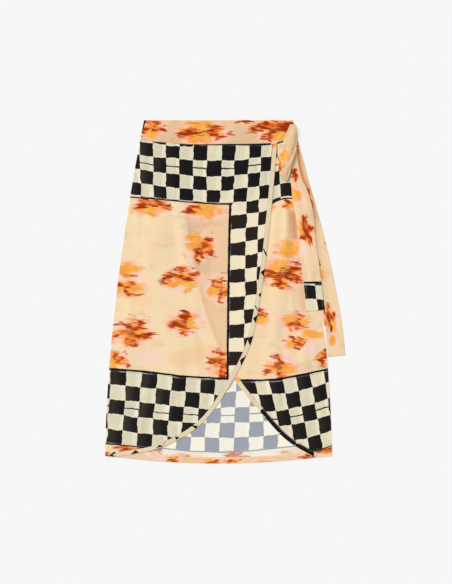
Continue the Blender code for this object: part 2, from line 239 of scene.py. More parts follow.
CREASE_COLUMNS = "x_start depth_start x_end depth_end bow left right height"
OVER_CREASES = table(
    CREASE_COLUMNS,
    (-0.130, 0.140, -0.122, 0.600, 0.0030, 0.0300, 0.0260, 0.0026),
    (-0.082, 0.170, -0.070, 0.370, 0.0020, 0.0140, 0.0120, 0.0005),
    (-0.166, 0.056, -0.186, 0.270, 0.0000, 0.0100, 0.0060, 0.0010),
    (-0.194, 0.300, -0.216, 0.560, 0.0040, 0.0130, 0.0080, 0.0013),
    (-0.058, 0.400, -0.028, 0.700, -0.006, 0.0160, 0.0090, 0.0012),
    (-0.148, 0.540, -0.190, 0.745, 0.0040, 0.0130, 0.0070, 0.0015),
    (-0.112, 0.580, -0.104, 0.720, 0.0000, 0.0100, 0.0060, 0.0010),
    (0.0280, 0.050, 0.0480, 0.240, 0.0020, 0.0090, 0.0060, 0.0009),
    (0.0620, 0.240, 0.0520, 0.480, 0.0020, 0.0080, 0.0050, 0.0009),
    (0.0980, 0.050, 0.1060, 0.190, 0.0000, 0.0070, 0.0050, 0.0008),
    (-0.020, 0.052, -0.034, 0.180, 0.0010, 0.0090, 0.0060, 0.0008),
)
UNDER_CREASES = table(
    CREASE_COLUMNS,
    (0.1300, 0.180, 0.1270, 0.320, 0.0000, 0.0160, 0.0080, 0.0016),
    (0.1545, 0.150, 0.1530, 0.320, 0.0000, 0.0060, 0.0120, 0.0022),
    (0.1280, 0.350, 0.1300, 0.520, 0.0010, 0.0140, 0.0130, 0.0014),
    (0.1640, 0.350, 0.1700, 0.500, 0.0000, 0.0060, 0.0080, 0.0016),
    (0.1600, 0.470, 0.1660, 0.610, -0.002, 0.0120, 0.0160, 0.0018),
    (0.2140, 0.470, 0.2260, 0.660, 0.0020, 0.0100, 0.0080, 0.0016),
    (0.1180, 0.540, 0.1380, 0.670, 0.0040, 0.0110, 0.0070, 0.0013),
    (0.1880, 0.620, 0.2040, 0.745, 0.0030, 0.0100, 0.0070, 0.0013),
)
BACK_CREASES = table(
    CREASE_COLUMNS,
    (-0.120, 0.060, -0.150, 0.560, 0.0050, 0.0150, 0.0080, 0.0002),
    (-0.050, 0.090, -0.062, 0.420, -0.004, 0.0120, 0.0070, 0.0002),
    (0.0300, 0.060, 0.0360, 0.500, 0.0060, 0.0140, 0.0080, 0.0002),
    (0.1050, 0.070, 0.1420, 0.530, 0.0050, 0.0130, 0.0070, 0.0002),
    (-0.020, 0.480, -0.034, 0.740, 0.0030, 0.0110, 0.0070, 0.0002),
    (0.0520, 0.520, 0.0640, 0.740, 0.0030, 0.0100, 0.0060, 0.0002),
    (0.1700, 0.420, 0.2100, 0.720, 0.0040, 0.0120, 0.0070, 0.0002),
)
WAIST_CREASES = table(
    CREASE_COLUMNS,
    (0.1500, 0.0080, 0.0500, 0.0230, 0.0020, 0.0030, 0.0040, 0.0010),
    (0.1450, 0.0170, 0.0700, 0.0380, 0.0015, 0.0030, 0.0030, 0.0009),
    (0.1380, 0.0280, 0.0880, 0.0500, 0.0010, 0.0025, 0.0030, 0.0008),
    (0.1250, 0.0060, 0.0200, 0.0170, 0.0010, 0.0030, 0.0050, 0.0007),
    (-0.060, 0.0110, -0.172, 0.0140, -0.001, 0.0040, 0.0050, 0.0006),
    (-0.020, 0.0330, -0.150, 0.0360, 0.0010, 0.0040, 0.0060, 0.0006),
)
WRAP_CREASES = table(
    CREASE_COLUMNS,
    (0.1655, 0.0110, 0.1500, 0.0490, 0.0010, 0.0022, 0.0030, -0.0014),
    (0.1800, 0.0260, 0.1640, 0.0800, 0.0030, 0.0026, 0.0034, -0.0024),
    (0.1590, 0.0500, 0.1410, 0.1060, -0.002, 0.0030, 0.0040, -0.0012),
    (0.1500, 0.0560, 0.1370, 0.0960, 0.0010, 0.0020, 0.0026, -0.0008),
    (0.1730, 0.0160, 0.1600, 0.0600, 0.0010, 0.0030, 0.0040, 0.0008),
)
FOLD_CREASES = table(
    CREASE_COLUMNS,
    (0.1750, 0.0640, 0.1405, 0.1190, -0.001, 0.0020, 0.0028, 0.0013),
    (0.1700, 0.0900, 0.1520, 0.1340, 0.0015, 0.0024, 0.0030, -0.0012),
    (0.1600, 0.1060, 0.1540, 0.1400, 0.0000, 0.0020, 0.0024, -0.0008),
)
CREASE_FADE = 0.3

STITCH = {"length": 0.0021, "pitch": 0.0030, "half_width": 0.00022, "height": 0.00016}
STITCH_INSET = 0.0018
# The rings of a stitch: the place along it, and its fullness and rise as shares of the sizes above.
LOAF = table(
    "place fullness raised", (0.00, 0.25, -0.8), (0.22, 1.00, 0.0), (0.78, 1.00, 0.0), (1.00, 0.25, -0.8)
)
SEAM_STITCHES = (-0.176, 0.150)  # x where a row starts and ends
HEM_STITCHES = (-0.250, 0.250)
BAND_STITCHES = slice(10, -12)  # points of a free edge's line that its row of stitches follows
TIE_STITCHES = {"rows": slice(12, -4), "columns": (5, -6)}  # of a tie's grid

# ---------------------------------------------------------------- sizes of the print

# The painted checks of each area: the place of a reference point, the size of a check there, its
# column and row number there, and how the columns and rows lean, fan and bow around it.
CHECKS = named_rows(
    "x      depth   width   height  column  row     lean    slope   fan    bow    twist  swell  drop",
    band=(-0.0812, 0.1176, 0.0306, 0.0336, 0.232, -0.201, 0.000, -0.083, 0.40, 0.41, -0.48, -0.36, 2.06),
    corner=(0.0709, 0.1254, 0.0283, 0.0323, 5.140, 0.145, 0.052, 0.120, 0.42, -0.13, 0.30, 2.47, 0.66),
    column=(0.0605, 0.3357, 0.0311, 0.0309, 4.984, 6.961, 0.019, 0.119, 0.54, 1.15, -0.14, 6.63, -0.05),
    low=(-0.1426, 0.6510, 0.0340, 0.0347, -0.932, 17.221, 0.080, -0.111, 0.14, 0.03, -0.17, 0.18, -0.19),
    right=(0.1789, 0.6485, 0.0310, 0.0367, -0.302, -1.093, -0.193, 0.199, 0.47, 1.35, -0.24, -0.12, 0.00),
    inside=(0.0328, 0.6971, 0.0329, 0.0338, -0.107, 0.311, 0.040, 0.030, -0.12, 0.40, -0.24, -0.08, 0.43),
    under=(0.1394, 0.1451, 0.0300, 0.0306, 0.0, 1.0, -0.080, 0.250, 0.0, -6.0, 0.0, 0.0, 0.0),
    tie=(0.2224, 0.4057, 0.0260, 0.0306, 1.0, 6.0, -0.138, 0.020, 0.0, 0.0, 0.0, 0.0, 0.0),
)
LINE_EVERY = 18  # rows from one thin painted line to the next
LINE_ROW = -0.5
SEAM_SLIVER = 0.31  # how far, in rows, the checks move down at the left of the waist seam
# Where the over panel's areas of checks pass into each other, across in x and down in depth. The
# sliver is counted down from the waist seam, and the low checks from where they start.
CHECK_PASSES = {
    "sliver_down": (0.005, 0.022),
    "sliver_across": (-0.059, -0.053),
    "corner_across": (0.008, 0.040),
    "column_down": (0.180, 0.215),
    "column_across": (0.005, 0.020),
    "low_down": (0.0, 0.022),
    "low_across": (0.012, 0.022),
    "to_hem": (0.300, 0.400),  # on the panels with one area at the waist and another at the hem
}
LOW_CHECKS_START = (0.450, 0.578)  # depth, left and right of low_across

# Edges of the flowered fields, where the painted line around them starts.
FIELD_TOP = table(
    "x depth", (-0.200, 0.1763), (-0.142, 0.1803), (-0.089, 0.1858), (-0.032, 0.1905), (0.025, 0.1930)
)
FIELD_SIDE = table(
    "x depth", (0.0240, 0.190), (0.0215, 0.290), (0.0197, 0.400), (0.0185, 0.500), (0.0180, 0.600)
)
FIELD_BOTTOM = table(
    "x depth", (-0.250, 0.5615), (-0.166, 0.5680), (-0.084, 0.5785), (-0.001, 0.5835), (0.030, 0.5835)
)
STRIP_TOP = table("x depth", (-0.257, 0.7350), (-0.216, 0.7385), (-0.175, 0.7435), (-0.130, 0.7480))
UNDER_TOP = table(
    "x depth", (0.120, 0.1925), (0.130, 0.1860), (0.146, 0.1800), (0.165, 0.1790), (0.200, 0.1780)
)
UNDER_BOTTOM = table(
    "x      depth",
    (0.040, 0.5870),
    (0.097, 0.5880),
    (0.139, 0.5850),
    (0.182, 0.5765),
    (0.239, 0.5645),
    (0.262, 0.5590),
)
UNDER_STRIP_TOP = table("x depth", (0.180, 0.7640), (0.207, 0.7560), (0.256, 0.7400))
INSIDE_STRIP_TOP = table(
    "x       depth",
    (-0.160, 0.7400),
    (-0.128, 0.7455),
    (-0.067, 0.7522),
    (0.0020, 0.7545),
    (0.0760, 0.7515),
    (0.1730, 0.7410),
)
BACK_TOP = 0.182
BACK_BOTTOM = 0.580
TIE_FIELD_END = 0.3661  # depth at which the short tie's checked end starts
LINE_WIDTH = {
    "top": 0.0030,
    "side": 0.0060,
    "bottom": 0.0045,
    "strip": 0.0027,
    "seam": 0.0013,
    "tie": 0.0050,
    "under": 0.0038,
}
# The line along the over panel's waist seam: x where it starts, by how many of its widths it is
# hidden left of there, and its largest field, which keeps it a line.
SEAM_LINE = {"starts": (-0.060, -0.030), "hidden": 2.0, "most": -0.2}
OUTER_FIELD = 5.0  # field of a place that is far inside

# Blossoms: the centre on the flat cloth, half the length along the weft, half the width across it,
# and how many of the petals are dark. Their order gives each one's number.
BLOSSOM_COLUMNS = "weft warp half_length half_width dark"
OVER_BLOSSOMS = table(
    BLOSSOM_COLUMNS,
    (-0.1500, 0.1920, 0.044, 0.027, 0.80),
    (-0.0290, 0.2010, 0.050, 0.026, 0.70),
    (-0.0440, 0.2870, 0.038, 0.034, 0.80),
    (-0.0840, 0.3610, 0.042, 0.033, 0.55),
    (-0.2130, 0.3400, 0.046, 0.026, 0.25),
    (-0.2080, 0.3800, 0.046, 0.020, 0.70),
    (0.0030, 0.3830, 0.032, 0.034, 0.60),
    (-0.1980, 0.4820, 0.050, 0.036, 0.65),
    (-0.0720, 0.4580, 0.040, 0.029, 0.65),
    (-0.2320, 0.5440, 0.036, 0.028, 0.45),
    (-0.1720, 0.5360, 0.034, 0.020, -1.0),
    (0.0030, 0.5540, 0.036, 0.034, 0.70),
    (-0.2010, 0.7450, 0.032, 0.013, 0.80),
    (-0.2540, 0.7590, 0.010, 0.009, 1.30),
)
UNDER_BLOSSOMS = table(
    BLOSSOM_COLUMNS,
    (0.1640, 0.1900, 0.020, 0.015, 0.60),
    (0.1640, 0.2950, 0.038, 0.024, 0.10),
    (0.1480, 0.3470, 0.050, 0.036, 0.90),
    (0.0940, 0.4460, 0.026, 0.026, 0.60),
    (0.1760, 0.4580, 0.040, 0.026, 0.60),
    (0.2120, 0.4840, 0.036, 0.014, 0.10),
    (0.1780, 0.5040, 0.030, 0.019, 0.75),
    (0.2200, 0.5150, 0.034, 0.020, -1.0),
    (0.1420, 0.5620, 0.038, 0.032, 0.65),
    (0.2420, 0.5300, 0.026, 0.026, 0.80),
    (0.2400, 0.7450, 0.030, 0.013, 0.70),
    (0.1170, 0.1980, 0.016, 0.014, 0.00),
)
WAIST_BLOSSOMS = table(
    BLOSSOM_COLUMNS,
    (-0.1500, 0.0180, 0.030, 0.024, 0.75),
    (-0.0350, 0.0280, 0.062, 0.030, 0.95),
    (0.0560, 0.0040, 0.022, 0.006, 1.00),
    (0.1290, 0.0210, 0.052, 0.036, 0.90),
)
HIDDEN_WAIST_BLOSSOMS = table(
    BLOSSOM_COLUMNS,
    (0.0590, 0.0030, 0.022, 0.005, 1.00),
    (-0.0400, 0.0200, 0.044, 0.020, 0.50),
    (-0.1360, 0.0240, 0.036, 0.022, 0.50),
    (0.1300, 0.0180, 0.036, 0.020, 0.50),
)
HEM_BLOSSOMS = table(
    BLOSSOM_COLUMNS,
    (-0.1480, 0.7660, 0.024, 0.008, -1.0),
    (-0.1020, 0.7700, 0.015, 0.009, 1.00),
    (-0.0180, 0.7750, 0.030, 0.007, 0.75),
    (0.0300, 0.7740, 0.024, 0.007, 0.75),
    (0.2000, 0.7660, 0.020, 0.009, 0.80),
    (0.1100, 0.7760, 0.034, 0.006, 0.00),
)
BACK_BLOSSOMS = table(
    BLOSSOM_COLUMNS,
    (-0.1200, 0.2300, 0.046, 0.030, 0.50),
    (0.0200, 0.2100, 0.040, 0.026, 0.60),
    (0.1400, 0.2500, 0.044, 0.034, 0.45),
    (-0.0500, 0.3200, 0.046, 0.036, 0.55),
    (0.0700, 0.3500, 0.042, 0.034, 0.60),
    (-0.1600, 0.3800, 0.044, 0.036, 0.40),
    (0.1800, 0.4100, 0.042, 0.030, 0.60),
    (-0.0300, 0.4500, 0.044, 0.034, 0.50),
    (0.0900, 0.4900, 0.046, 0.034, 0.50),
    (-0.1300, 0.5200, 0.048, 0.034, 0.55),
    (0.2000, 0.5400, 0.034, 0.028, 0.50),
    (-0.1380, 0.7530, 0.022, 0.010, 0.50),
    (-0.0900, 0.7640, 0.026, 0.009, 0.60),
    (0.0400, 0.7600, 0.034, 0.014, 0.60),
    (0.1600, 0.7520, 0.030, 0.009, 0.20),
)
LONG_TIE_BLOSSOMS = table(
    BLOSSOM_COLUMNS,
    (0.1780, 0.0100, 0.024, 0.0060, 0.95),
    (0.3220, -0.005, 0.014, 0.0050, 0.95),
    (0.3480, -0.004, 0.018, 0.0080, 0.00),
    (0.4560, -0.004, 0.034, 0.0170, 0.85),
    (0.4990, -0.006, 0.016, 0.0130, 0.00),
)
SHORT_TIE_BLOSSOMS = table(
    BLOSSOM_COLUMNS,
    (0.1240, -0.003, 0.014, 0.0085, 1.90),
    (0.1670, -0.008, 0.020, 0.0130, 0.00),
    (0.2540, -0.004, 0.036, 0.0220, 0.95),
    (0.2880, -0.010, 0.024, 0.0120, -1.0),
)
WRAP_BLOSSOMS = table(
    BLOSSOM_COLUMNS,
    (0.0825, 0.1480, 0.018, 0.0150, 0.00),
    (0.1010, 0.1370, 0.024, 0.0070, 1.00),
)
FOLD_BLOSSOMS = table(
    BLOSSOM_COLUMNS,
    (0.1120, 0.1420, 0.010, 0.0040, 0.30),
    (0.0750, 0.1760, 0.010, 0.0040, 0.40),
)
UNDER_EDGE_BLOSSOMS = table(BLOSSOM_COLUMNS, (0.0440, 0.5890, 0.014, 0.010, 0.10))
OVER_EDGE_BLOSSOMS = table(BLOSSOM_COLUMNS, (0.1260, 0.0560, 0.012, 0.008, 0.20))
BLOSSOM_REACH = 1.45  # in half sizes, from a blossom's centre to where it has faded away
BLOSSOM_SEAM = (0.07, 0.24)  # differences of two such distances between which neighbours fade

# Darker patches of the ground: the centre, half the size each way, and the tone, which is below 0 where the
# patch is peachy instead.
SMUDGE_COLUMNS = "x depth half_x half_depth tone"
OVER_SMUDGES = table(
    SMUDGE_COLUMNS,
    (-0.184, 0.2600, 0.030, 0.026, 1.0),
    (-0.142, 0.5300, 0.036, 0.034, 0.8),
    (-0.052, 0.2320, 0.040, 0.022, 1.3),
    (-0.030, 0.3300, 0.026, 0.036, 1.1),
    (-0.105, 0.5350, 0.050, 0.022, -1.0),
    (-0.040, 0.5300, 0.040, 0.024, -0.6),
)
UNDER_SMUDGES = table(
    SMUDGE_COLUMNS,
    (0.2050, 0.5600, 0.050, 0.014, 1.6),
    (0.1200, 0.5750, 0.050, 0.010, 1.0),
    (0.1960, 0.3000, 0.014, 0.060, 1.0),
)

# Short painted marks: the two ends of each stroke and half its width.
MARK_COLUMNS = "x_start depth_start x_end depth_end half_width"
OVER_EDGE_MARKS = table(
    MARK_COLUMNS,
    (0.1020, 0.2930, 0.1095, 0.3080, 0.0016),
    (0.0830, 0.4210, 0.0910, 0.4345, 0.0012),
    (-0.0980, 0.7150, -0.0960, 0.7165, 0.0009),
    (-0.1270, 0.7390, -0.1195, 0.7270, 0.0010),
)
# Painted wedges: the corner that points inwards, then the upper and the lower corner at the edge.
OVER_EDGE_WEDGES = table(
    "x_tip depth_tip x_top depth_top x_foot depth_foot",
    (0.0945, 0.3450, 0.1075, 0.3360, 0.1040, 0.3560),
    (0.0900, 0.3965, 0.0995, 0.3880, 0.0980, 0.4050),
    (0.0785, 0.4490, 0.0915, 0.4400, 0.0830, 0.4620),
    (0.0640, 0.4945, 0.0800, 0.4890, 0.0720, 0.5130),
    (0.0490, 0.5440, 0.0650, 0.5310, 0.0520, 0.5620),
    (-0.064, 0.6915, -0.047, 0.6925, -0.050, 0.7010),
    (-0.099, 0.7180, -0.087, 0.7190, -0.096, 0.7260),
    (-0.143, 0.7440, -0.133, 0.7355, -0.126, 0.7400),
    (-0.200, 0.7590, -0.188, 0.7475, -0.180, 0.7540),
    (-0.246, 0.7620, -0.239, 0.7525, -0.232, 0.7550),
)
# The black stretches of the under edge band: where each starts and ends, as x + depth.
UNDER_EDGE_BLACKS = table(
    "start end", (0.7530, 0.7779), (0.7773, 0.8477), (0.8471, 0.9104), (0.9098, 0.9760)
)
BLACK_ROUND = 0.0030  # how much shorter a stretch is along the band's sides
EDGE_BAND_ASLANT = 0.0071  # half the band's width along x, where the band runs at 45 degrees
ASLANT_MILLIMETRES = 700  # in the band's own direction, to a metre of x + depth
WAIST_MARKS_AND_SHADOW = table(
    MARK_COLUMNS,
    (-0.1680, 0.0010, -0.1775, 0.0250, 0.0042),
    # The second is not print: it is a painted shadow along the waistband's top edge, where it lies over the
    # back waistband.
    (-0.0700, 0.0050, -0.0420, 0.0078, 0.0010),
)
CORNER_MARKS = table(MARK_COLUMNS, (0.2108, 0.7571, 0.2180, 0.7657, 0.0009))
OVER_CORNER_MARKS = table(
    MARK_COLUMNS,
    (-0.2450, 0.7610, -0.2360, 0.7535, 0.0018),
    (-0.2410, 0.7620, -0.2330, 0.7632, 0.0011),
)
LONG_TIE_MARKS = table(MARK_COLUMNS, (0.2408, 0.2770, 0.2418, 0.2800, 0.0010))
NO_MARK = -1.0

# Where the ground is richer in colour, and where shade is painted into it: beside the short tie, along the
# knot's turns and on the waistband.
OVER_DEEP = {
    "column_across": (0.0, 0.004),  # from the flowered field's side
    "column_ends": (0.560, 0.590),
    "double": 0.62,  # over the under panel
    "double_across": (-0.002, 0.004),  # from the under panel's edge
    "double_down": (0.17, 0.19),
    "band": 0.25,  # over the under panel's edge band
}
UNDER_DEEP = 0.12
HEM_DEEP = 0.5  # the back's turned-up hem
HIDDEN_BAND_DEEP = 0.6  # the waistbands of the back and of the under panel
# Painted shade beside the short tie: on the under panel at its left, and on the long tie at its right.
TIE_SHADES = named_rows(  # start and end are depths, and fades is the share that is lost at the end
    "deep off    width   start           end             fades",
    under=(1.55, 0.006, 0.0100, (0.190, 0.215), (0.250, 0.300), 0.5),
    long=(1.30, 0.003, 0.0055, (0.040, 0.060), (0.180, 0.280), 1.0),
)
UNDER_SHADE_ENDS = (0.440, 0.470)
# On the waistband, the darker lower part is partly its doubled cloth and partly painted shade.
DEEP_DOWN = named_rows(  # how deep above and below a passage down the piece, and where it lies
    "above below passes",
    waistband=(0.40, 0.90, (0.003, 0.020)),
    tie_long=(0.55, 0.25, (0.12, 0.30)),
    tie_short=(0.55, 0.30, (0.10, 0.20)),
)
# The knot's turns: a little richer all over, with painted shade along a crease line beside the left side at
# the top and along the rims.
TURN_SHADE = {
    "all": 0.3,
    "line": 0.9,
    "inset": 0.0062,
    "line_ends": (0.045, 0.060),
    "rim": 1.3,
    "rim_starts": (0.03, 0.05),
    "left_narrower": 1.3,
    "width": 0.0014,  # of the line and of the rim
}
TIE_SMUDGE = 0.3
OVER_WORN = {"all": 0.15, "left": 0.85, "left_across": (0.09, 0.14), "hem": 0.5, "hem_down": (0.5, 0.6)}
UNDER_WORN = 0.6
PLAIN = {"field": OUTER_FIELD, "deep": 0.0, "mark": NO_MARK, "smudge": 0.0, "worn": 0.0}

# ---------------------------------------------------------------- sizes of the stage

WHITE = (1.0, 1.0, 1.0, 1.0)
CAMERA_AT = (0.0170, -0.0004, 3.680)
LENS = 100.0  # millimetres, on a 36 mm long side
KEY_LIGHT = {"from": (-0.62, 0.42, 0.66), "energy": 2.1, "angle": 34}
SURROUND_LIGHT = 0.52
FLOOR_HALF = 12.0
FLOOR_LOOKS = {
    "Base_Color": (0.30, 0.30, 0.30, 1.0),
    "Roughness": 1.0,
    "Specular_IOR_Level": 0.0,
    "Emission_Color": WHITE,
    "Emission_Strength": 0.64,
}


# ---------------------------------------------------------------- curves and outlines


def ramp(value, start, end):
    """0 up to start, 1 from end on, and an S curve between them."""
    t = np.clip((value - start) / (end - start), 0, 1)
    return t * t * (3 - 2 * t)


def between(first, second, share):
    return first + (second - first) * share


def bell(off, width):
    """1 where off is 0, and falls away on both sides like a bell of the given width."""
    return np.exp(-((off / width) ** 2))


def hump(share):
    """0 where the share is 0 or 1, and 1 half way between: an arc of a parabola."""
    return 4 * share * (1 - share)


def each_row(rows):
    """The rows of a table, each as a dictionary from column to value."""
    return [dict(zip(rows, values)) for values in zip(*rows.values())]


def through(at, stations, values):
    """A smooth curve through (stations, values). Its slope at a station is that of its neighbours."""
    slopes = np.gradient(values, stations)
    i = np.clip(np.searchsorted(stations, at) - 1, 0, len(stations) - 2)
    span = stations[i + 1] - stations[i]
    t = np.clip((at - stations[i]) / span, 0, 1)
    start = (1 - t) ** 2 * ((1 + 2 * t) * values[i] + t * span * slopes[i])
    end = t**2 * ((3 - 2 * t) * values[i + 1] - (1 - t) * span * slopes[i + 1])
    return start + end


def distance_along(points):
    """Distance from the first point to each point of a line."""
    return np.concatenate(([0], np.cumsum(np.linalg.norm(np.diff(points, axis=0), axis=1))))


def along_at(points, at):
    """Points of a line at the given distances along it."""
    run = distance_along(points)
    return np.column_stack([np.interp(at, run, points[:, k]) for k in range(points.shape[1])])


def edge_line(edge, count=900):
    """The smooth free edge of a front panel as (x, depth) points at equal distances."""
    corners = np.column_stack((edge["x"], edge["depth"]))
    run = distance_along(corners)
    at = np.linspace(0, run[-1], count)
    line = np.column_stack([through(at, run, corners[:, k]) for k in (0, 1)])
    return along_at(line, np.linspace(0, distance_along(line)[-1], count))


def beside(line, distance):
    """The line moved sideways: a positive distance moves a line that runs down the skirt to +X."""
    along = np.gradient(line, axis=0)
    along /= np.linalg.norm(along, axis=1)[:, None]
    return line + distance * np.column_stack((along[:, 1], -along[:, 0]))


def half_width(depth):
    """Half the skirt's width: it flares fast at the hip and runs nearly straight at the hem."""
    left_over = 1 - np.clip(depth / SIDE_LENGTH, 0, 1)
    return between(WAIST_HALF, HEM_HALF, 1 - left_over**SIDE_POWER)


def right_side_in(depth):
    """How far the right side edge bows in beside the long tie's end."""
    return SIDE_BOW["in"] * bell(depth - SIDE_BOW["depth"], SIDE_BOW["half"])


def hem_depth(x):
    """Depth of the hem, a shallow bow."""
    return LENGTH - HEM_BOW * (x / HEM_HALF) ** 2


def over_seam_depth(x):
    return through(x, OVER_WAISTBAND["x"], OVER_WAISTBAND["bottom"])


def under_seam_depth(x):
    return 0 * x + WAISTBAND_HEIGHT


def over_top_depth(x):
    return through(x, OVER_WAISTBAND["x"], OVER_WAISTBAND["top"])


def tie_middle(tie, depth):
    return through(depth, tie["depth"], tie["x"])


def tie_width(tie, depth):
    return through(depth, tie["depth"], tie["width"])


def off_tie(x, depth, tie, side):
    """How far a place lies off a tie's right side, or off its left side where side is -1."""
    return side * (x - tie_middle(tie, depth)) - tie_width(tie, depth) / 2


def edge_x(line, depth):
    """x of a front panel's free edge at a depth."""
    return np.interp(depth, line[:, 1], line[:, 0])


OVER_LINE = edge_line(OVER_EDGE)
UNDER_LINE = edge_line(UNDER_EDGE)


# ---------------------------------------------------------------- heights above the floor


def folds(x, depth, rows):
    """Soft ridges: each is a bell across its line, and rises and dies away along it."""
    height = 0 * x
    for fold in each_row(rows):
        along = (depth - fold["upper"]) / (fold["lower"] - fold["upper"])
        line = between(fold["x_upper"], fold["x_lower"], np.clip(along, 0, 1))
        fade = ramp(along, 0, FOLD_FADE) * ramp(1 - along, 0, FOLD_FADE)
        height += fold["height"] * fade * bell(x - line, fold["half_width"])
    return height


def beside_stroke(x, depth, stroke):
    """Where places lie from the line between a stroke's two ends: how far along it, from 0 to 1 at
    its ends, and how far beside it, above 0 at the right of one that runs down. Also its length."""
    run = (stroke["x_end"] - stroke["x_start"], stroke["depth_end"] - stroke["depth_start"])
    length = math.hypot(*run)
    across = x - stroke["x_start"]
    down = depth - stroke["depth_start"]
    along = (across * run[0] + down * run[1]) / length**2
    return along, (across * run[1] - down * run[0]) / length, length


def creases(x, depth, rows):
    """Soft ridges, or troughs where the height is below 0. Each runs from its start to its end and is
    bowed to +X in the middle. Across it is a bell whose left and right sides have their own widths,
    and it rises and dies away along it."""
    height = 0 * x
    for crease in each_row(rows):
        along, beside_it, _ = beside_stroke(x, depth, crease)
        off = beside_it - crease["bow"] * np.clip(hump(along), 0, 1)
        width = np.where(off > 0, crease["right"], crease["left"])
        fade = ramp(along, 0, CREASE_FADE) * ramp(1 - along, 0, CREASE_FADE)
        height += crease["height"] * fade * bell(off, width)
    return height


def ripples(x, depth):
    """Slow uneven waves that cross at a slant: the sum of two sines, squared, so never below 0."""
    first = np.sin(41 * x + 9 * depth + 1.3 * np.sin(13 * depth))
    second = np.sin(17 * x - 23 * depth + 2.0 + 1.1 * np.sin(19 * x))
    return RIPPLE * (first + second) ** 2


def on_hem_fold(x, depth):
    """1 over the back's turned-up hem, 0 well above it."""
    return ramp(depth - (hem_depth(x) - HEM_FOLD), *HEM_STEP)


def on_under_panel(x, depth):
    """1 over the under panel, 0 well to the left of its hidden edge."""
    slope = np.gradient(UNDER_LINE[:, 0], UNDER_LINE[:, 1])
    lean = np.interp(depth, UNDER_LINE[:, 1], 1 / np.sqrt(1 + slope**2))
    return ramp((x - edge_x(UNDER_LINE, depth)) * lean, *UNDER_STEP)


def under_clear(x, depth):
    """1 where the under panel shows, falling to 0 at the over panel and at the ties."""
    short_tie = tie_middle(SHORT_TIE, depth) - SHORT_TIE_CLEAR
    right = np.where(depth < SHORT_TIE["depth"][-1], short_tie, half_width(depth))
    return ramp(x - edge_x(OVER_LINE, depth), 0, FOLD_CLEAR) * ramp(right - x, 0, FOLD_CLEAR)


def under_low(x, depth):
    """Underside of the under panel. Its folds stay clear of the over panel and of the ties."""
    raised = folds(x, depth, UNDER_FOLDS) + creases(x, depth, UNDER_CREASES)
    return LAYER * (1 + on_hem_fold(x, depth)) + under_clear(x, depth) * raised


def over_low(x, depth):
    """Underside of the over panel: it steps up on to the under panel and the back's hem."""
    step = OVER_LIFT * on_under_panel(x, depth) + LAYER * on_hem_fold(x, depth)
    raised = folds(x, depth, OVER_FOLDS) + creases(x, depth, OVER_CREASES) + ripples(x, depth)
    return LAYER + step + raised


def gathers(x, depth):
    """Ridges of the over waistband that run out from the knot and die away."""
    across = KNOT_CENTRE["x"] - x
    down = depth - KNOT_CENTRE["depth"]
    angle = np.degrees(np.arctan2(down, across))
    ridge = sum(bell(angle - at, GATHER_HALF_ANGLE) for at in GATHER_ANGLES)
    fade = 1 - ramp(np.hypot(across, down), *GATHER_FADE)
    return GATHER_HEIGHT * ridge * fade * beside_wrap(x, depth)


def beside_wrap(x, depth):
    """0 at the left side of the knot's main turn, 1 well to the left of it."""
    return ramp(through(depth, KNOT_WRAP["depth"], KNOT_WRAP["left"]) - x, 0, FOLD_CLEAR)


def drop_off_side(x, depth):
    """1 on the skirt, falling to 0 just past its right side edge."""
    return 1 - ramp(x - half_width(depth), *SIDE_DROP)


def long_tie_low(x, depth):
    """Underside of the long tie: on the under panel, then over the side edge and on the floor."""
    return 2 * LAYER * drop_off_side(x, depth) * (1 - ramp(depth, *TIE_ON_TABLE))


def short_tie_low(x, depth):
    """Underside of the short tie: on the under panel, with its right half on the long tie, and with
    two lengthwise pleats that die away below the knot."""
    on_long = TIE_LIFT * ramp(-off_tie(x, depth, LONG_TIE, -1), *LONG_TIE_STEP)
    across = (x - tie_middle(SHORT_TIE, depth)) / tie_width(SHORT_TIE, depth)
    pleats = PLEAT_HEIGHT * np.sin(2 * math.pi * across) ** 2
    pleats = pleats * ramp(depth, *PLEAT_RISE) * (1 - ramp(depth, *PLEAT_FADE))
    return 2 * LAYER * drop_off_side(x, depth) + on_long + pleats


def knot_wrap_low(x, depth):
    """Underside of the knot's main turn: on the over waistband, then on the under panel and ties."""
    base = between(KNOT_LOW["waistband"], 2 * LAYER, ramp(depth, *WRAP_OFF_WAISTBAND))
    on_ties = ramp(-off_tie(x, depth, LONG_TIE, -1), *WRAP_TIE_STEP) * ramp(depth, *WRAP_TIE_DEPTH)
    return np.maximum(base, KNOT_LOW["ties"] * on_ties)


def knot_fold_low(x, depth):
    """Underside of the small turn: on the main turn's edge, then lower on the short tie."""
    return 0 * x + between(KNOT_LOW["wrap"], KNOT_LOW["ties"], ramp(depth, *TURN_LOWERS))


# ---------------------------------------------------------------- places in the print


def check_place(area, x, depth):
    """Column and row of the painted checks. Their whole numbers are the edges of the checks. Around
    the area's reference point they change evenly, with small terms of the second order."""
    a = CHECKS[area]
    dx = x - a["x"]
    down = depth - a["depth"]
    across = dx + a["lean"] * down + a["fan"] * dx * down + a["swell"] * dx**2
    along = down + a["slope"] * dx + a["bow"] * dx**2 + a["twist"] * dx * down + a["drop"] * down**2
    return np.stack((a["column"] + across / a["width"], a["row"] + along / a["height"]), axis=-1)


# ---------------------------------------------------------------- node trees


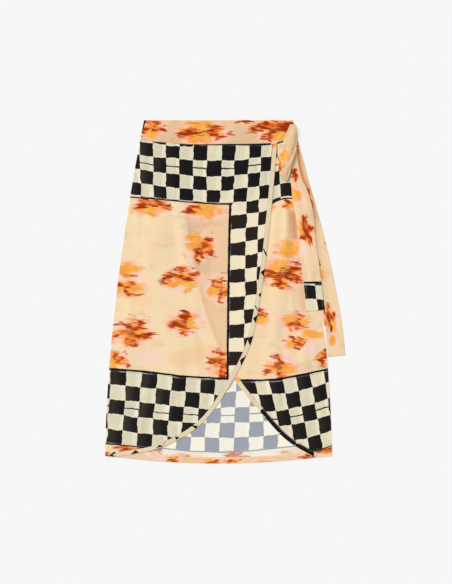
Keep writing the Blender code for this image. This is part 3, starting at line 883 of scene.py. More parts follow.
class Wire:
    """What runs from one node to the next. Arithmetic on it adds the nodes that work it out."""

    def __init__(self, nodes, socket):
        self.nodes = nodes
        self.socket = socket

    def by(self, operation, *others):
        """What the math node, or for vectors and colours the vector math node, makes of it."""
        kind = "ShaderNodeMath" if self.socket.type == "VALUE" else "ShaderNodeVectorMath"
        made = self.nodes.add(kind, enumerate((self, *others)), operation=operation)
        return made["Value"] if operation == "LENGTH" else made[0]

    def __add__(self, other):
        return self.by("ADD", other)

    def __sub__(self, other):
        return self.by("SUBTRACT", other)

    def __rsub__(self, other):
        return self * -1.0 + other

    def __mul__(self, other):
        return self.by("MULTIPLY", other)

    def __truediv__(self, other):
        return self.by("DIVIDE", other)

    def ramp(self, start, end, low=0.0, high=1.0):
        """low up to start, high from end on, and an S curve between them."""
        inputs = enumerate((self, start, end, low, high))
        return self.nodes.add("ShaderNodeMapRange", inputs, interpolation_type="SMOOTHSTEP")[0]


class Nodes:
    """Adds nodes to a tree. What goes into a socket is a wire or a constant."""

    def __init__(self, tree):
        self.tree = tree

    def fill(self, node, inputs):
        """Fills a node's inputs, given as pairs of a name or a place and a value."""
        for key, value in inputs:
            if isinstance(value, Wire):
                self.tree.links.new(value.socket, node.inputs[key])
            else:
                node.inputs[key].default_value = value

    def add(self, kind, inputs=(), **settings):
        """A new node. Returns the wires from its outputs, by place and by name."""
        node = self.tree.nodes.new(kind)
        for name, value in settings.items():
            setattr(node, name, value)
        self.fill(node, inputs)
        return {key: Wire(self, s) for key, s in (*enumerate(node.outputs), *node.outputs.items())}

    def group(self, tree, **values):
        return self.add("ShaderNodeGroup", values.items(), node_tree=tree)

    def attribute(self, name):
        return self.add("ShaderNodeAttribute", attribute_name=name)["Vector"]

    def split(self, vector):
        parts = self.add("ShaderNodeSeparateXYZ", [(0, vector)])
        return [parts[k] for k in range(3)]

    def join(self, x, y, z=0.0):
        return self.add("ShaderNodeCombineXYZ", enumerate((x, y, z)))[0]

    def noise(self, place, scale=1.0, detail=2.0):
        inputs = {"Vector": place, "Scale": scale, "Detail": detail}
        return self.add("ShaderNodeTexNoise", inputs.items())[0]

    def cell_noise(self, x, y):
        """A random value for each pair of whole numbers."""
        inputs = {"Vector": self.join(x, y)}
        return self.add("ShaderNodeTexWhiteNoise", inputs.items(), noise_dimensions="2D")["Value"]

    def mix(self, share, first, second):
        """A colour between two colours."""
        inputs = {0: share, 6: first, 7: second}
        return self.add("ShaderNodeMix", inputs.items(), data_type="RGBA")[2]

    def give(self, **outputs):
        """Ends a group with its outputs, and returns its tree."""
        self.fill(self.tree.nodes.new("NodeGroupOutput"), outputs.items())
        return self.tree

    def shade(self, **inputs):
        """Fills the inputs of a material's own shader."""
        inputs = {name.replace("_", " "): value for name, value in inputs.items()}
        self.fill(self.tree.nodes["Principled BSDF"], inputs.items())


SOCKETS = {"value": "NodeSocketFloat", "vector": "NodeSocketVector", "colour": "NodeSocketColor"}


def new_group(name, inputs, outputs):
    """An empty node group. Its sockets are given by kind, with their names in one text. Returns its
    Nodes and the wires from its inputs."""
    tree = bpy.data.node_groups.new(name, "ShaderNodeTree")
    for direction, sockets in (("INPUT", inputs), ("OUTPUT", outputs)):
        for kind, names in sockets.items():
            for socket in names.split():
                tree.interface.new_socket(socket, in_out=direction, socket_type=SOCKETS[kind])
    nodes = Nodes(tree)
    return nodes, nodes.add("NodeGroupInput")


def new_material(name):
    made = bpy.data.materials.new(name)
    made.use_nodes = True
    return made, Nodes(made.node_tree)


def chosen(wires, names):
    """The wires of the given names, by name."""
    return {name: wires[name] for name in names.split()}


def ink(red, green, blue):
    """A colour given in display values from 0 to 255, as scene-linear."""
    shares = [value / 255 for value in (red, green, blue)]
    linear = [v / 12.92 if v <= 0.04045 else ((v + 0.055) / 1.055) ** 2.4 for v in shares]
    return (*linear, 1.0)


FACE_INKS = {
    "Ground": ink(249, 222, 179),
    "Rich": ink(238, 190, 148),
    "Blush": ink(252, 213, 197),
    "Orange": ink(255, 166, 70),
    "Rust": ink(160, 50, 6),
    "Cream": ink(226, 217, 186),
    "Black": ink(17, 15, 17),
    "Line": ink(20, 16, 18),
}
BAND_INKS = FACE_INKS | {"Ground": ink(235, 217, 184), "Rich": ink(228, 203, 166)}
# A darker copy of the print for the waistband and the knot's turns: its darker ground is painted shade.
SHADED_WAIST_INKS = FACE_INKS | {"Ground": ink(234, 203, 161), "Rich": ink(228, 193, 150)}
INSIDE_INKS = {
    "Ground": ink(249, 242, 226),
    "Rich": ink(243, 233, 214),
    "Blush": ink(249, 228, 218),
    "Orange": ink(246, 206, 180),
    "Rust": ink(204, 132, 108),
    "Cream": ink(253, 249, 232),
    "Black": ink(162, 166, 176),
    "Line": ink(164, 166, 174),
}
THREAD_INKS = (ink(236, 205, 160), ink(250, 226, 186))

# Tints: what an ink's red, green and blue are multiplied by.
TINTS = {
    "grey": (0.91, 0.93, 1.00),  # of the light checks
    "warm black": (0.024, 0.018, 0.022),  # of the dark checks where the cloth is richer
    "lilac": (0.94, 0.98, 1.22),  # of the blush
    "yellow": (1.00, 1.22, 1.22),  # of the orange
    "flame": (0.84, 0.43, 0.42),  # of the orange, half way to rust
    "olive": (0.42, 0.42, 0.30),  # of the ground, at a blossom's heart
    "painted_shade": (0.74, 0.47, 0.22),  # of the ground: painted shade beside the short tie and along the knot's turns
    "peach": (1.00, 0.87, 0.80),  # of the ground, where the dye is peachy
    "brown": (0.86, 0.84, 0.88),  # of the ground, in its darker patches
}
PALE_WASH = (1.0, 0.93, 0.76, 1.0)
WARM_WASH = (1.0, 0.84, 0.52, 1.0)
RICH_WASH = (1.0, 0.86, 0.62, 1.0)
PALE_LINE = (0.90, 0.88, 0.90, 1.0)

THREAD_WIDTH = 0.00042
WEAVE_BUMP = {"Strength": 0.35, "Distance": 0.00012}
WEAVE_NOISE = {"jitter": 900.0, "pebble": 1600.0}
CHECK_BENDS = ((0.75, 0.24), (2.3, 0.13), (6.5, 0.05))  # a noise's scale, and how far it bends edges
CHECK_SOFT = 0.07  # half the softness of a check's edge, as a share of the wave across a check
CHECK_BRUSH = (3.0, 0.9, 1.0)  # scales of the brush marks, across the columns and along the rows
THIN_LINE = (0.025, 0.055)  # from its middle, where a thin line starts and has ended, in rows

PETALS = 5
PETAL_TURN = 0.37  # how far each blossom is turned from the one before, in turns
PETAL_TWIST = 0.12
PETAL_REACH = (0.66, 0.42)  # the shortest petal, and how much longer the longest is
PETAL_HALF = 0.50
STROKE_HALF = 0.03  # half the width of the brush stroke along a dark petal
STREAKS = (13.0, 270.0, 1.0)  # scales of the noises, along the weft and the warp
STROKES = (36.0, 135.0, 1.0)
GAPS = (30.0, 74.0, 1.0)
# Where each part of a blossom starts and is full, in its own radii inside its outline.
BLOSSOM_EDGES = {
    "halo": (-0.34, 0.16),
    "body": (-0.22, 0.20),
    "orange": (-0.20, 0.30),
    "flame": (-0.24, 0.04),
    "rust": (-0.03, 0.20),
    "stroke": (-0.10, 0.06),
}
# Across a framing line, in its own widths from the field's edge: where the line passes into the
# flowers, the checks into the line, the pale line into checks and the checks into the pale line.
LINE_EDGES = {
    "flowers": (-0.1, 0.1),
    "line": (-1.1, -0.9),
    "checks": (-1.35, -1.2),
    "pale": (-1.75, -1.55),
}


def make_weave():
    """Crepe weave: a height that is high on each thread's crown, over and under, roughened by noise.
    The place is in metres along the weft and the warp."""
    n, given = new_group("weave", {"vector": "Place", "value": "Thread"}, {"value": "Height Shade"})
    place, thread = given["Place"], given["Thread"]
    jitter = n.noise(place, WEAVE_NOISE["jitter"], 1.0)
    weft, warp, _ = n.split(place / n.join(thread, thread, 1.0) + n.join(jitter, jitter))
    crossing = (weft * math.pi).by("SINE") * (warp * math.pi).by("SINE")
    pebble = n.noise(place, WEAVE_NOISE["pebble"])
    return n.give(Height=crossing * 0.5 + pebble, Shade=pebble.ramp(0.3, 0.7, 0.97, 1.03))


def make_checks():
    """Hand-painted checks: light where the column's and the row's whole numbers add up to an even
    one. Slow noise bends the edges and fine noise roughens them. Each check is washed from side to
    side: a light one is palest at the right and at its edges, and a dark one is thinnest at the left.
    A thin line runs through the middle of one row in every LINE_EVERY."""
    n, given = new_group(
        "painted checks",
        {"vector": "Check", "value": "Deep Worn", "colour": "Cream Black"},
        {"colour": "Colour"},
    )
    place, deep, cream = given["Check"], given["Deep"], given["Cream"]
    counted = []
    for value, where in zip(n.split(place), (place, place + (31.0, 7.0, 0.0))):
        for scale, reach in CHECK_BENDS:
            value = (n.noise(where, scale, 1.0) - 0.5) * reach + value
        counted.append(value)
    column, row = counted
    waves = [(value * math.pi).by("SINE") for value in counted]
    steps = [wave.ramp(-CHECK_SOFT, CHECK_SOFT) for wave in waves]
    light = steps[0] * steps[1] * 2.0 + 1.0 - (steps[0] + steps[1])

    own, tint = [n.cell_noise((column + k).by("FLOOR"), row.by("FLOOR")) for k in (0, 40)]
    brush = n.noise(place * CHECK_BRUSH)
    across = brush * 0.5 + column.by("FRACT")
    washed = across.ramp(tint * 0.25 + 0.70, 1.05, 0.0, own * 0.6 + 0.4)
    pale = n.mix(0.6, cream, PALE_WASH)
    warm = n.mix(0.5, cream, WARM_WASH)
    cream = n.mix(tint.ramp(0.2, 0.8, 0.0, 0.7), cream, cream * TINTS["grey"])
    cream = n.mix(n.noise(place, 1.2).ramp(0.50, 0.70, 0.0, 0.6), cream, warm)
    cream = n.mix(washed, cream, pale)
    cream = n.mix(deep, cream, n.mix(0.5, warm, RICH_WASH))
    edge = waves[0].by("ABSOLUTE").by("MINIMUM", waves[1].by("ABSOLUTE"))
    cream = n.mix(edge.ramp(0.10, 0.34, 0.55, 0.0), cream, pale)

    worn = given["Worn"] * (own * 0.014 + 0.014) * (brush * 1.6 + 0.2)
    black = n.mix(across.ramp(0.40, 1.05, worn, worn * 0.2), given["Black"], warm)
    black = n.mix(deep * 0.9, black, warm * TINTS["warm black"])
    from_line = (row - LINE_ROW) / LINE_EVERY
    from_line = (from_line - from_line.by("ROUND")).by("ABSOLUTE")
    line = from_line.ramp(*[at / LINE_EVERY for at in THIN_LINE])
    return n.give(Colour=n.mix(light * line, black, cream))


def make_blossoms():
    """Blurred blossoms whose edges run along the weft in streaks. The blossom's vector is the place
    in metres from its centre, with its number third. Its form is half its length, half its width
    and the share of dark petals, which is below 0 for one that is only a pale cloud. It has five
    uneven petals in a pale halo: each glows in orange, and a dark one has a brush stroke along its
    middle. Near is 1 on the blossom and 0 where none is close."""
    n, given = new_group(
        "blossoms",
        {"vector": "Blossom Form Place", "value": "Near", "colour": "Ground Blush Orange Rust"},
        {"colour": "Colour"},
    )
    place, near, orange = given["Place"], given["Near"], given["Orange"]
    drift = n.noise(place, 42.0)
    along, across, number = n.split(given["Blossom"])
    half_length, half_width, dark_share = n.split(given["Form"])
    pull = (n.noise(place * STREAKS) - 0.5) * half_length * 0.95
    bend = (drift - 0.5) * half_width * 1.1
    along = (along + pull + bend) / half_length
    across = (across - bend) / half_width
    radius = n.join(along, across).by("LENGTH")
    turn = radius * PETAL_TWIST + across.by("ARCTAN2", along) / (2 * math.pi)
    at = ((number * PETAL_TURN + turn) * PETALS).by("WRAP", PETALS, 0.0)
    petal = at.by("FLOOR")
    own, tone, haze = [n.cell_noise(petal + k, number) for k in (0, 9, 17)]
    arc = (at.by("FRACT") - 0.5).by("ABSOLUTE") * radius * (2 * math.pi / PETALS)
    to_tip = own * PETAL_REACH[1] + PETAL_REACH[0] - radius
    inside = to_tip.by("SMOOTH_MIN", PETAL_HALF - arc, 0.3)

    pulled = place + n.join(pull, 0.0)
    weft, warp, _ = n.split(pulled)
    stroke = n.noise(n.join(weft, weft * -0.3 + warp) * STROKES, 1.0, 0.8) - 0.5
    gap = n.noise(pulled * GAPS, 1.0, 0.6)
    halo = (1.0 - radius + (gap - 0.5)).ramp(*BLOSSOM_EDGES["halo"]) * haze.ramp(0.2, 0.7, 0.35, 1.0)
    body = ((gap - 0.5) * 1.2 + inside).ramp(*BLOSSOM_EDGES["body"]) * dark_share.ramp(-0.5, 0.0)
    brush = to_tip.by("SMOOTH_MIN", STROKE_HALF - arc, 0.15).by("MINIMUM", radius - 0.02)
    brush = dark_share * 0.2 + (stroke * 1.1 + brush)
    brush = brush + (tone + dark_share).ramp(0.96, 1.04, -0.5, 0.0)
    body = body.by("MAXIMUM", brush.ramp(*BLOSSOM_EDGES["stroke"]))

    pale_flame = n.mix(0.5, orange, given["Blush"])
    deep_flame = orange * TINTS["flame"]
    heat = ((drift - 0.5) * 1.4 + inside).ramp(*BLOSSOM_EDGES["orange"])
    orange = n.mix(own.ramp(0.30, 0.70), orange, orange * TINTS["yellow"])
    orange = n.mix(gap.ramp(0.54, 0.74, 0.0, 0.25), orange, deep_flame)
    flame = n.mix(heat, pale_flame, orange)
    flame = n.mix(brush.ramp(*BLOSSOM_EDGES["flame"]), flame, deep_flame)
    flame = n.mix(brush.ramp(*BLOSSOM_EDGES["rust"]), flame, given["Rust"])
    blush = n.mix(drift.ramp(0.54, 0.66), given["Blush"], given["Blush"] * TINTS["lilac"])
    colour = n.mix(halo * near, given["Ground"], blush)
    colour = n.mix(body * near, colour, flame)
    heart = radius.ramp(0.08, 0.24, 1.0, 0.0) * n.noise(place, 330.0, 1.0).ramp(0.46, 0.56, 0.0, 0.6)
    heart = heart * dark_share.ramp(0.0, 0.3) * near.ramp(0.9, 1.0)
    return n.give(Colour=n.mix(heart, colour, given["Ground"] * TINTS["olive"]))


def make_print(checks, blossoms):
    """The whole print. Field is how far a place lies inside the flowered field, in widths of the
    line around it: inside are the blossoms on the ground, then come the line and a thin pale one,
    then the checks. Mark is how many millimetres a place lies inside a painted mark. Deep is 1 where
    the cloth is richer in colour; from 1 to 2 it paints brownish shade into the ground, deepest in
    folds. Smudge is 1 in a darker patch of the ground and -1 in a peachy one. Worn is 1 where the
    dark checks are thin."""
    n, given = new_group(
        "skirt print",
        {
            "vector": "Check Blossom Form Place",
            "value": "Field Deep Mark Smudge Near Worn",
            "colour": " ".join(FACE_INKS),
        },
        {"colour": "Colour"},
    )
    place, deep, smudge, dark = given["Place"], given["Deep"], given["Smudge"], given["Line"]
    ground = n.mix(deep, given["Ground"], given["Rich"])
    # Above 1, Deep mixes painted shade into the ground.
    ground = n.mix(deep - 1.0, ground, ground * TINTS["painted_shade"])
    cloud = smudge * -0.3 + n.noise(place, 9.0)
    ground = n.mix(cloud.ramp(0.52, 0.74, 0.0, 0.9), ground, ground * TINTS["peach"])
    cloud = smudge * 0.22 + n.noise(place * (24.0, 40.0, 1.0), 1.0, 3.0)
    ground = n.mix(cloud.ramp(0.56, 0.76, 0.0, 0.75), ground, ground * TINTS["brown"])
    own = chosen(given, "Blossom Form Near Place Blush Orange Rust")
    flowered = n.group(blossoms, Ground=ground, **own)[0]
    checked = n.group(checks, **chosen(given, "Check Deep Worn Cream Black"))[0]

    wobble = n.noise(place, 60.0) - 0.5
    field = wobble * 0.5 + given["Field"]
    brushed = n.noise(place, 34.0, 1.0).ramp(0.44, 0.60, 0.15, 1.0)
    pale_line = n.mix(0.5, dark, PALE_LINE)
    outside = n.mix(field.ramp(*LINE_EDGES["pale"]) * brushed, checked, pale_line)
    outside = n.mix(field.ramp(*LINE_EDGES["checks"]), outside, checked)
    inside = n.mix(field.ramp(*LINE_EDGES["flowers"]), dark, flowered)
    colour = n.mix(field.ramp(*LINE_EDGES["line"]), outside, inside)
    mark = wobble * 1.6 + given["Mark"]
    return n.give(Colour=n.mix(mark.ramp(-0.35, 0.35), colour, dark))


WEAVE = make_weave()
PRINT = make_print(make_checks(), make_blossoms())


def printed_cloth(name, inks):
    """Printed crepe: the print from the piece's own attributes, and the weave's bump."""
    made, n = new_material(name)
    place = n.add("ShaderNodeUVMap", uv_map="cloth")[0]
    own = dict(zip(("Field", "Deep", "Mark"), n.split(n.attribute("layout"))))
    own |= dict(zip(("Near", "Smudge", "Worn"), n.split(n.attribute("near"))))
    own |= {"Place": place, "Check": n.attribute("check")}
    own |= {"Blossom": n.attribute("blossom"), "Form": n.attribute("blossom_form")}
    colour = n.group(PRINT, **own, **inks)[0]
    weave = n.group(WEAVE, Place=place, Thread=THREAD_WIDTH)
    bump = WEAVE_BUMP | {"Height": weave["Height"]}
    n.shade(
        Base_Color=colour * n.join(*[weave["Shade"]] * 3),
        Normal=n.add("ShaderNodeBump", bump.items())[0],
        Roughness=0.8,
        Specular_IOR_Level=0.12,
    )
    return made


def thread_material():
    """Sewing thread: a twisted strand of two plies."""
    made, n = new_material("thread")
    ply = n.noise(n.add("ShaderNodeTexCoord")["Object"], 2500.0, 1.0)
    n.shade(Base_Color=n.mix(ply, *THREAD_INKS), Roughness=0.6)
    return made


FACE = printed_cloth("print", FACE_INKS)
# The waistband's and the knot's print, with painted shade in its ground.
SHADED_WAIST = printed_cloth("waist_print_shaded", SHADED_WAIST_INKS)
BAND = printed_cloth("printed_band", BAND_INKS)
INSIDE = printed_cloth("print_inside", INSIDE_INKS)
THREAD = thread_material()


# ---------------------------------------------------------------- making cloth


def shares(length, count):
    """Places from 0 to 1 along a side of the given length: evenly spaced ones, and extra ones in the
    rounding of both ends."""
    low = np.array(FINE_EDGE) * EDGE_ROUND / length
    high = 1 - low[::-1]
    return np.concatenate((low, np.linspace(low[-1], high[0], count)[1:-1], high))


def piece_shares(piece, length=None):
    """Places from 0 to 1 down and across a piece of GRIDS."""
    size = GRIDS[piece]
    return shares(length or size["length"], size["rows"]), shares(size["width"], size["columns"])


def grid(piece, length=None):
    """The same places as two arrays over the piece's whole grid."""
    return np.meshgrid(*piece_shares(piece, length), indexing="ij")


def rounding(x, depth, edges):
    """How much thinner the cloth is near its turned edges: a quarter circle over EDGE_ROUND. Edges
    is any of the words top, bottom, left and right of the grid."""
    across = np.hypot(np.diff(x, axis=1, prepend=x[:, :1]), np.diff(depth, axis=1, prepend=depth[:, :1]))
    down = np.hypot(np.diff(x, axis=0, prepend=x[:1]), np.diff(depth, axis=0, prepend=depth[:1]))
    across = np.cumsum(across, axis=1)
    down = np.cumsum(down, axis=0)
    distance = {
        "left": across,
        "right": across[:, -1:] - across,
        "top": down,
        "bottom": down[-1:] - down,
    }
    nearest = np.minimum.reduce([distance[edge] for edge in edges.split()])
    past = 1 - np.clip(nearest / EDGE_ROUND, 0, 1)
    return 1 - np.sqrt(1 - past**2)


def cloth(name, x, depth, low, edges, thickness=CLOTH, crown=0.0, materials=(FACE, INSIDE)):
    """A closed wall of cloth over a grid of (x, depth) places, whose columns run to +X. The underside
    is at low. The top is the thickness and the crown above it, less the rounding at the turned edges.
    The first material is on the top and the rim, the second on the underside."""
    rows, columns = x.shape
    top = low + thickness + crown - (thickness - RIM) * rounding(x, depth, edges)
    y = LENGTH / 2 - depth
    points = np.concatenate([np.stack((x, y, z), axis=-1).reshape(-1, 3) for z in (low, top)])
    index = np.arange(rows * columns).reshape(rows, columns)
    cells = (index[:-1, :-1], index[:-1, 1:], index[1:, 1:], index[1:, :-1])
    lower = np.stack(cells, axis=-1).reshape(-1, 4)
    upper = lower[:, ::-1] + index.size
    ring = np.concatenate((index[0, :-1], index[:-1, -1], index[-1, :0:-1], index[:0:-1, 0]))
    onward = np.roll(ring, -1)
    rim = np.column_stack((onward, ring, ring + index.size, onward + index.size))
    faces = np.concatenate((lower, upper, rim))
    made = new_piece(name, points, faces, materials)
    under = np.zeros(len(faces), np.int32)
    under[: len(lower)] = 1
    made.data.polygons.foreach_set("material_index", under)
    made.data.shade_smooth()
    return made


def new_piece(name, points, faces, materials):
    """An object at the origin from arrays of points and of four-sided faces."""
    mesh = bpy.data.meshes.new(name)
    mesh.vertices.add(len(points))
    mesh.vertices.foreach_set("co", points.astype(np.float32).ravel())
    mesh.loops.add(faces.size)
    mesh.loops.foreach_set("vertex_index", faces.astype(np.int32).ravel())
    mesh.polygons.add(len(faces))
    mesh.polygons.foreach_set("loop_start", np.arange(0, faces.size, 4, dtype=np.int32))
    mesh.update(calc_edges=True)
    mesh.validate()
    for material in materials:
        mesh.materials.append(material)
    made = bpy.data.objects.new(name, mesh)
    bpy.context.scene.collection.objects.link(made)
    return made


def on_points(made, name, values):
    """Stores values of the grid as an attribute of the points of both its sides."""
    values = np.asarray(values, float)
    is_vector = values.ndim == 3
    both = np.tile(values.reshape(-1, 3 if is_vector else 1), (2, 1)).astype(np.float32)
    layer = made.data.attributes.new(name, "FLOAT_VECTOR" if is_vector else "FLOAT", "POINT")
    layer.data.foreach_set("vector" if is_vector else "value", both.ravel())


def lay_print(made, weft, warp, check, blossoms, **given):
    """Gives a piece the coordinates of its print. Weft and warp are metres on the flat cloth. Given
    are values of the print's other places, where they differ from PLAIN."""
    place, form, near = nearest_blossom(weft, warp, blossoms)
    plain = {name: np.zeros(weft.shape) + given.get(name, value) for name, value in PLAIN.items()}
    on_points(made, "check", np.concatenate((check, np.zeros_like(check[..., :1])), axis=-1))
    on_points(made, "layout", np.stack([plain[name] for name in ("field", "deep", "mark")], axis=-1))
    on_points(made, "near", np.stack((near, plain["smudge"], plain["worn"]), axis=-1))
    on_points(made, "blossom", place)
    on_points(made, "blossom_form", form)
    corners = np.empty(len(made.data.loops), np.int32)
    made.data.loops.foreach_get("vertex_index", corners)
    places = np.tile(np.stack((weft, warp), axis=-1).reshape(-1, 2), (2, 1))
    layer = made.data.uv_layers.new(name="cloth")
    layer.data.foreach_set("uv", places[corners].astype(np.float32).ravel())


def nearest_blossom(weft, warp, blossoms):
    """For each place the nearest blossom: the distances from its centre with its number, its form,
    and a value that falls from 1 to 0 at its reach and half way to its nearest neighbour."""
    along = weft[..., None] - blossoms["weft"]
    across = warp[..., None] - blossoms["warp"]
    distance = np.hypot(along / blossoms["half_length"], across / blossoms["half_width"])
    order = np.argsort(distance, axis=-1)
    nearest = order[..., :1]
    ranked = np.take_along_axis(distance, order, axis=-1)
    near = np.clip((BLOSSOM_REACH - ranked[..., 0]) / (BLOSSOM_REACH - 1), 0, 1)
    if len(blossoms["weft"]) > 1:
        near *= ramp(ranked[..., 1] - ranked[..., 0], *BLOSSOM_SEAM)
    which = nearest[..., 0]
    along, across = [np.take_along_axis(v, nearest, axis=-1)[..., 0] for v in (along, across)]
    form = np.stack([blossoms[name][which] for name in ("half_length", "half_width", "dark")], axis=-1)
    return np.stack((along, across, which + 1.0), axis=-1), form, near


def smudged(x, depth, smudges):
    """The sum of the smudges: each has its tone in the middle and falls away like a bell."""
    total = 0 * x
    for s in each_row(smudges):
        total += s["tone"] * bell(x - s["x"], s["half_x"]) * bell(depth - s["depth"], s["half_depth"])
    return total


def inside_marks(x, depth, marks):
    """Millimetres that a place lies inside the nearest mark: half its width less the distance to
    the line between its ends."""
    inside = np.full(x.shape, NO_MARK)
    for mark in each_row(marks):
        along, beside_it, length = beside_stroke(x, depth, mark)
        past_end = (along - np.clip(along, 0, 1)) * length
        away = np.hypot(beside_it, past_end)
        inside = np.maximum(inside, 1000 * (mark["half_width"] - away))
    return inside


def inside_wedges(x, depth, wedges):
    """Millimetres that a place lies inside the nearest wedge: its distance to the nearest side, which
    is below 0 outside."""
    inside = np.full(x.shape, NO_MARK)
    for wedge in each_row(wedges):
        corners = [(wedge["x_" + name], wedge["depth_" + name]) for name in ("tip", "top", "foot")]
        sides = []
        for (x_1, depth_1), (x_2, depth_2) in zip(corners, corners[1:] + corners[:1]):
            area = (x_2 - x_1) * (depth - depth_1) - (depth_2 - depth_1) * (x - x_1)
            sides.append(area / math.hypot(x_2 - x_1, depth_2 - depth_1))
        inside = np.maximum(inside, 1000 * np.minimum.reduce(sides))
    return inside


def flat_area(x, depth):
    """Area of a grid of places laid flat."""
    ax, ad = x[1:, 1:] - x[:-1, :-1], depth[1:, 1:] - depth[:-1, :-1]
    bx, bd = x[1:, :-1] - x[:-1, 1:], depth[1:, :-1] - depth[:-1, 1:]
    return float(np.abs(ax * bd - ad * bx).sum() / 2)


def declare(made, node, x, depth, flat=None):
    """Attaches the piece to the root body and hides the solid that it replaces. It also works out the
    piece's size and area as cloth laid flat, cut to the size of the grid, where a strip that runs
    aslant gives its own width and length as flat, but nothing uses them."""
    size = flat or [float(np.ptp(values)) for values in (x, depth)]
    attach(made, "root")
    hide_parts(node)
    area = min(flat_area(x, depth), size[0] * size[1])


# ---------------------------------------------------------------- the print of each piece


def curve(line, at, across="x", value="depth"):
    return np.interp(at, line[across], line[value])


def field_side_x(depth):
    """x of the right side of the over panel's flowered field."""
    return curve(FIELD_SIDE, depth, "depth", "x")


def field_within(*insides):
    """How far a place lies inside a field, kept within the range that the line around it needs."""
    return np.clip(np.minimum.reduce(insides), -OUTER_FIELD, OUTER_FIELD)


def no_pale_line(inside):
    """Leaves out the thin pale line: past the dark one the value falls six times as fast."""
    return np.where(inside < -1, 6 * inside + 5, inside)


def hem_strip(x, depth, top):
    """The flowered strip between its top line and the hem."""
    return field_within((depth - curve(top, x)) / LINE_WIDTH["strip"])


def over_field(x, depth):
    """The over panel's flowered field, the strip above its hem, and the line along its waist seam,
    which is hidden at the left."""
    field = field_within(
        (depth - curve(FIELD_TOP, x)) / LINE_WIDTH["top"],
        no_pale_line((field_side_x(depth) - x) / LINE_WIDTH["side"]),
        (curve(FIELD_BOTTOM, x) - depth) / LINE_WIDTH["bottom"],
    )
    hidden = SEAM_LINE["hidden"] * (1 - ramp(x, *SEAM_LINE["starts"]))
    seam = (over_seam_depth(x) - depth) / LINE_WIDTH["seam"] - hidden
    seam = np.clip(seam, -OUTER_FIELD, SEAM_LINE["most"])
    return np.maximum.reduce((field, hem_strip(x, depth, STRIP_TOP), seam))


def under_field(x, depth):
    field = field_within(
        no_pale_line((depth - curve(UNDER_TOP, x)) / LINE_WIDTH["under"]),
        (curve(UNDER_BOTTOM, x) - depth) / LINE_WIDTH["bottom"],
    )
    return np.maximum(field, hem_strip(x, depth, UNDER_STRIP_TOP))


def back_field(x, depth):
    above = (BACK_BOTTOM - depth) / LINE_WIDTH["bottom"]
    field = field_within((depth - BACK_TOP) / LINE_WIDTH["top"], above)
    return np.maximum(field, hem_strip(x, depth, INSIDE_STRIP_TOP))


def over_check(x, depth):
    """Checks of the over panel: the band below the waist, its right corner, the column beside the
    wrap edge and the band above the hem are one pattern, so each passes softly into the next. At the
    left of the waist seam a sliver of one more row shows."""
    place = check_place("band", x, depth)
    sliver = 1 - ramp(depth - over_seam_depth(x), *CHECK_PASSES["sliver_down"])
    sliver = sliver * (1 - ramp(x, *CHECK_PASSES["sliver_across"]))
    place[..., 1] -= SEAM_SLIVER * sliver
    low_start = between(*LOW_CHECKS_START, ramp(x, *CHECK_PASSES["low_across"]))
    areas = {
        "corner": ramp(x, *CHECK_PASSES["corner_across"]),
        "column": ramp(depth, *CHECK_PASSES["column_down"]) * ramp(x, *CHECK_PASSES["column_across"]),
        "low": ramp(depth - low_start, *CHECK_PASSES["low_down"]),
    }
    for area, share in areas.items():
        place = between(place, check_place(area, x, depth), share[..., None])
    return place


def waist_and_hem_checks(waist, hem, x, depth):
    """Checks of a panel that has one area of them at its waist and another at its hem."""
    share = ramp(depth, *CHECK_PASSES["to_hem"])[..., None]
    return between(check_place(waist, x, depth), check_place(hem, x, depth), share)


def over_deep(x, depth):
    """Where the over panel shows richer: over the under panel, most over its edge band, and in the
    column of checks."""
    column = ramp(depth, *CHECK_PASSES["column_down"]) * (1 - ramp(depth, *OVER_DEEP["column_ends"]))
    column = column * ramp(x - field_side_x(depth), *OVER_DEEP["column_across"])
    past_edge = x - edge_x(UNDER_LINE, depth)
    on_double = ramp(past_edge, *OVER_DEEP["double_across"])
    on_band = bell(past_edge - EDGE_BAND / 2, EDGE_BAND / 2)
    doubled = OVER_DEEP["double"] * on_double + OVER_DEEP["band"] * on_band
    return np.maximum(column, doubled * ramp(depth, *OVER_DEEP["double_down"]))


def deep_down(piece, down):
    """How much richer a piece's ground is, by the distance down it."""
    row = DEEP_DOWN[piece]
    return between(row["above"], row["below"], ramp(down, *row["passes"]))


def beside_tie(off, depth, shade):
    """A soft painted shade that runs along a tie, off its side, and starts and fades down the skirt."""
    strip = shade["deep"] * bell(off - shade["off"], shade["width"])
    return strip * ramp(depth, *shade["start"]) * (1 - shade["fades"] * ramp(depth, *shade["end"]))


# ---------------------------------------------------------------- the pieces


def front_panel(piece, side, inner_line, seam_depth):
    """Places of a front panel. Each row runs from the side seam to a point of the wrap edge's inner
    line, and the last row is the short stretch of hem between them."""
    hem_end_x = inner_line[-1, 0] + side * (GAP + 3 * HEM_INSET)
    hem_end = np.array([[hem_end_x, hem_depth(hem_end_x) - HEM_INSET]])
    line = np.concatenate((inner_line, hem_end))
    run = distance_along(line)[-1]
    down, across = piece_shares(piece, run)
    edge = along_at(line, down * run)
    edge[0, 1] = seam_depth(edge[0, 0]) + GAP
    down = down[:, None]
    side_seam = seam_depth(side * half_width(WAISTBAND_HEIGHT)) + GAP
    side_depth = between(side_seam, SIDE_LENGTH, down)
    side_x = side * half_width(side_depth) - (side > 0) * right_side_in(side_depth)
    x = between(side_x, edge[:, :1], across)
    depth = between(side_depth, edge[:, 1:], across)
    depth = depth + (seam_depth(x[:1]) + GAP - depth[:1]) * (1 - down) ** SEAM_EASE
    if side > 0:
        x, depth = x[:, ::-1], depth[:, ::-1]
    return x, depth


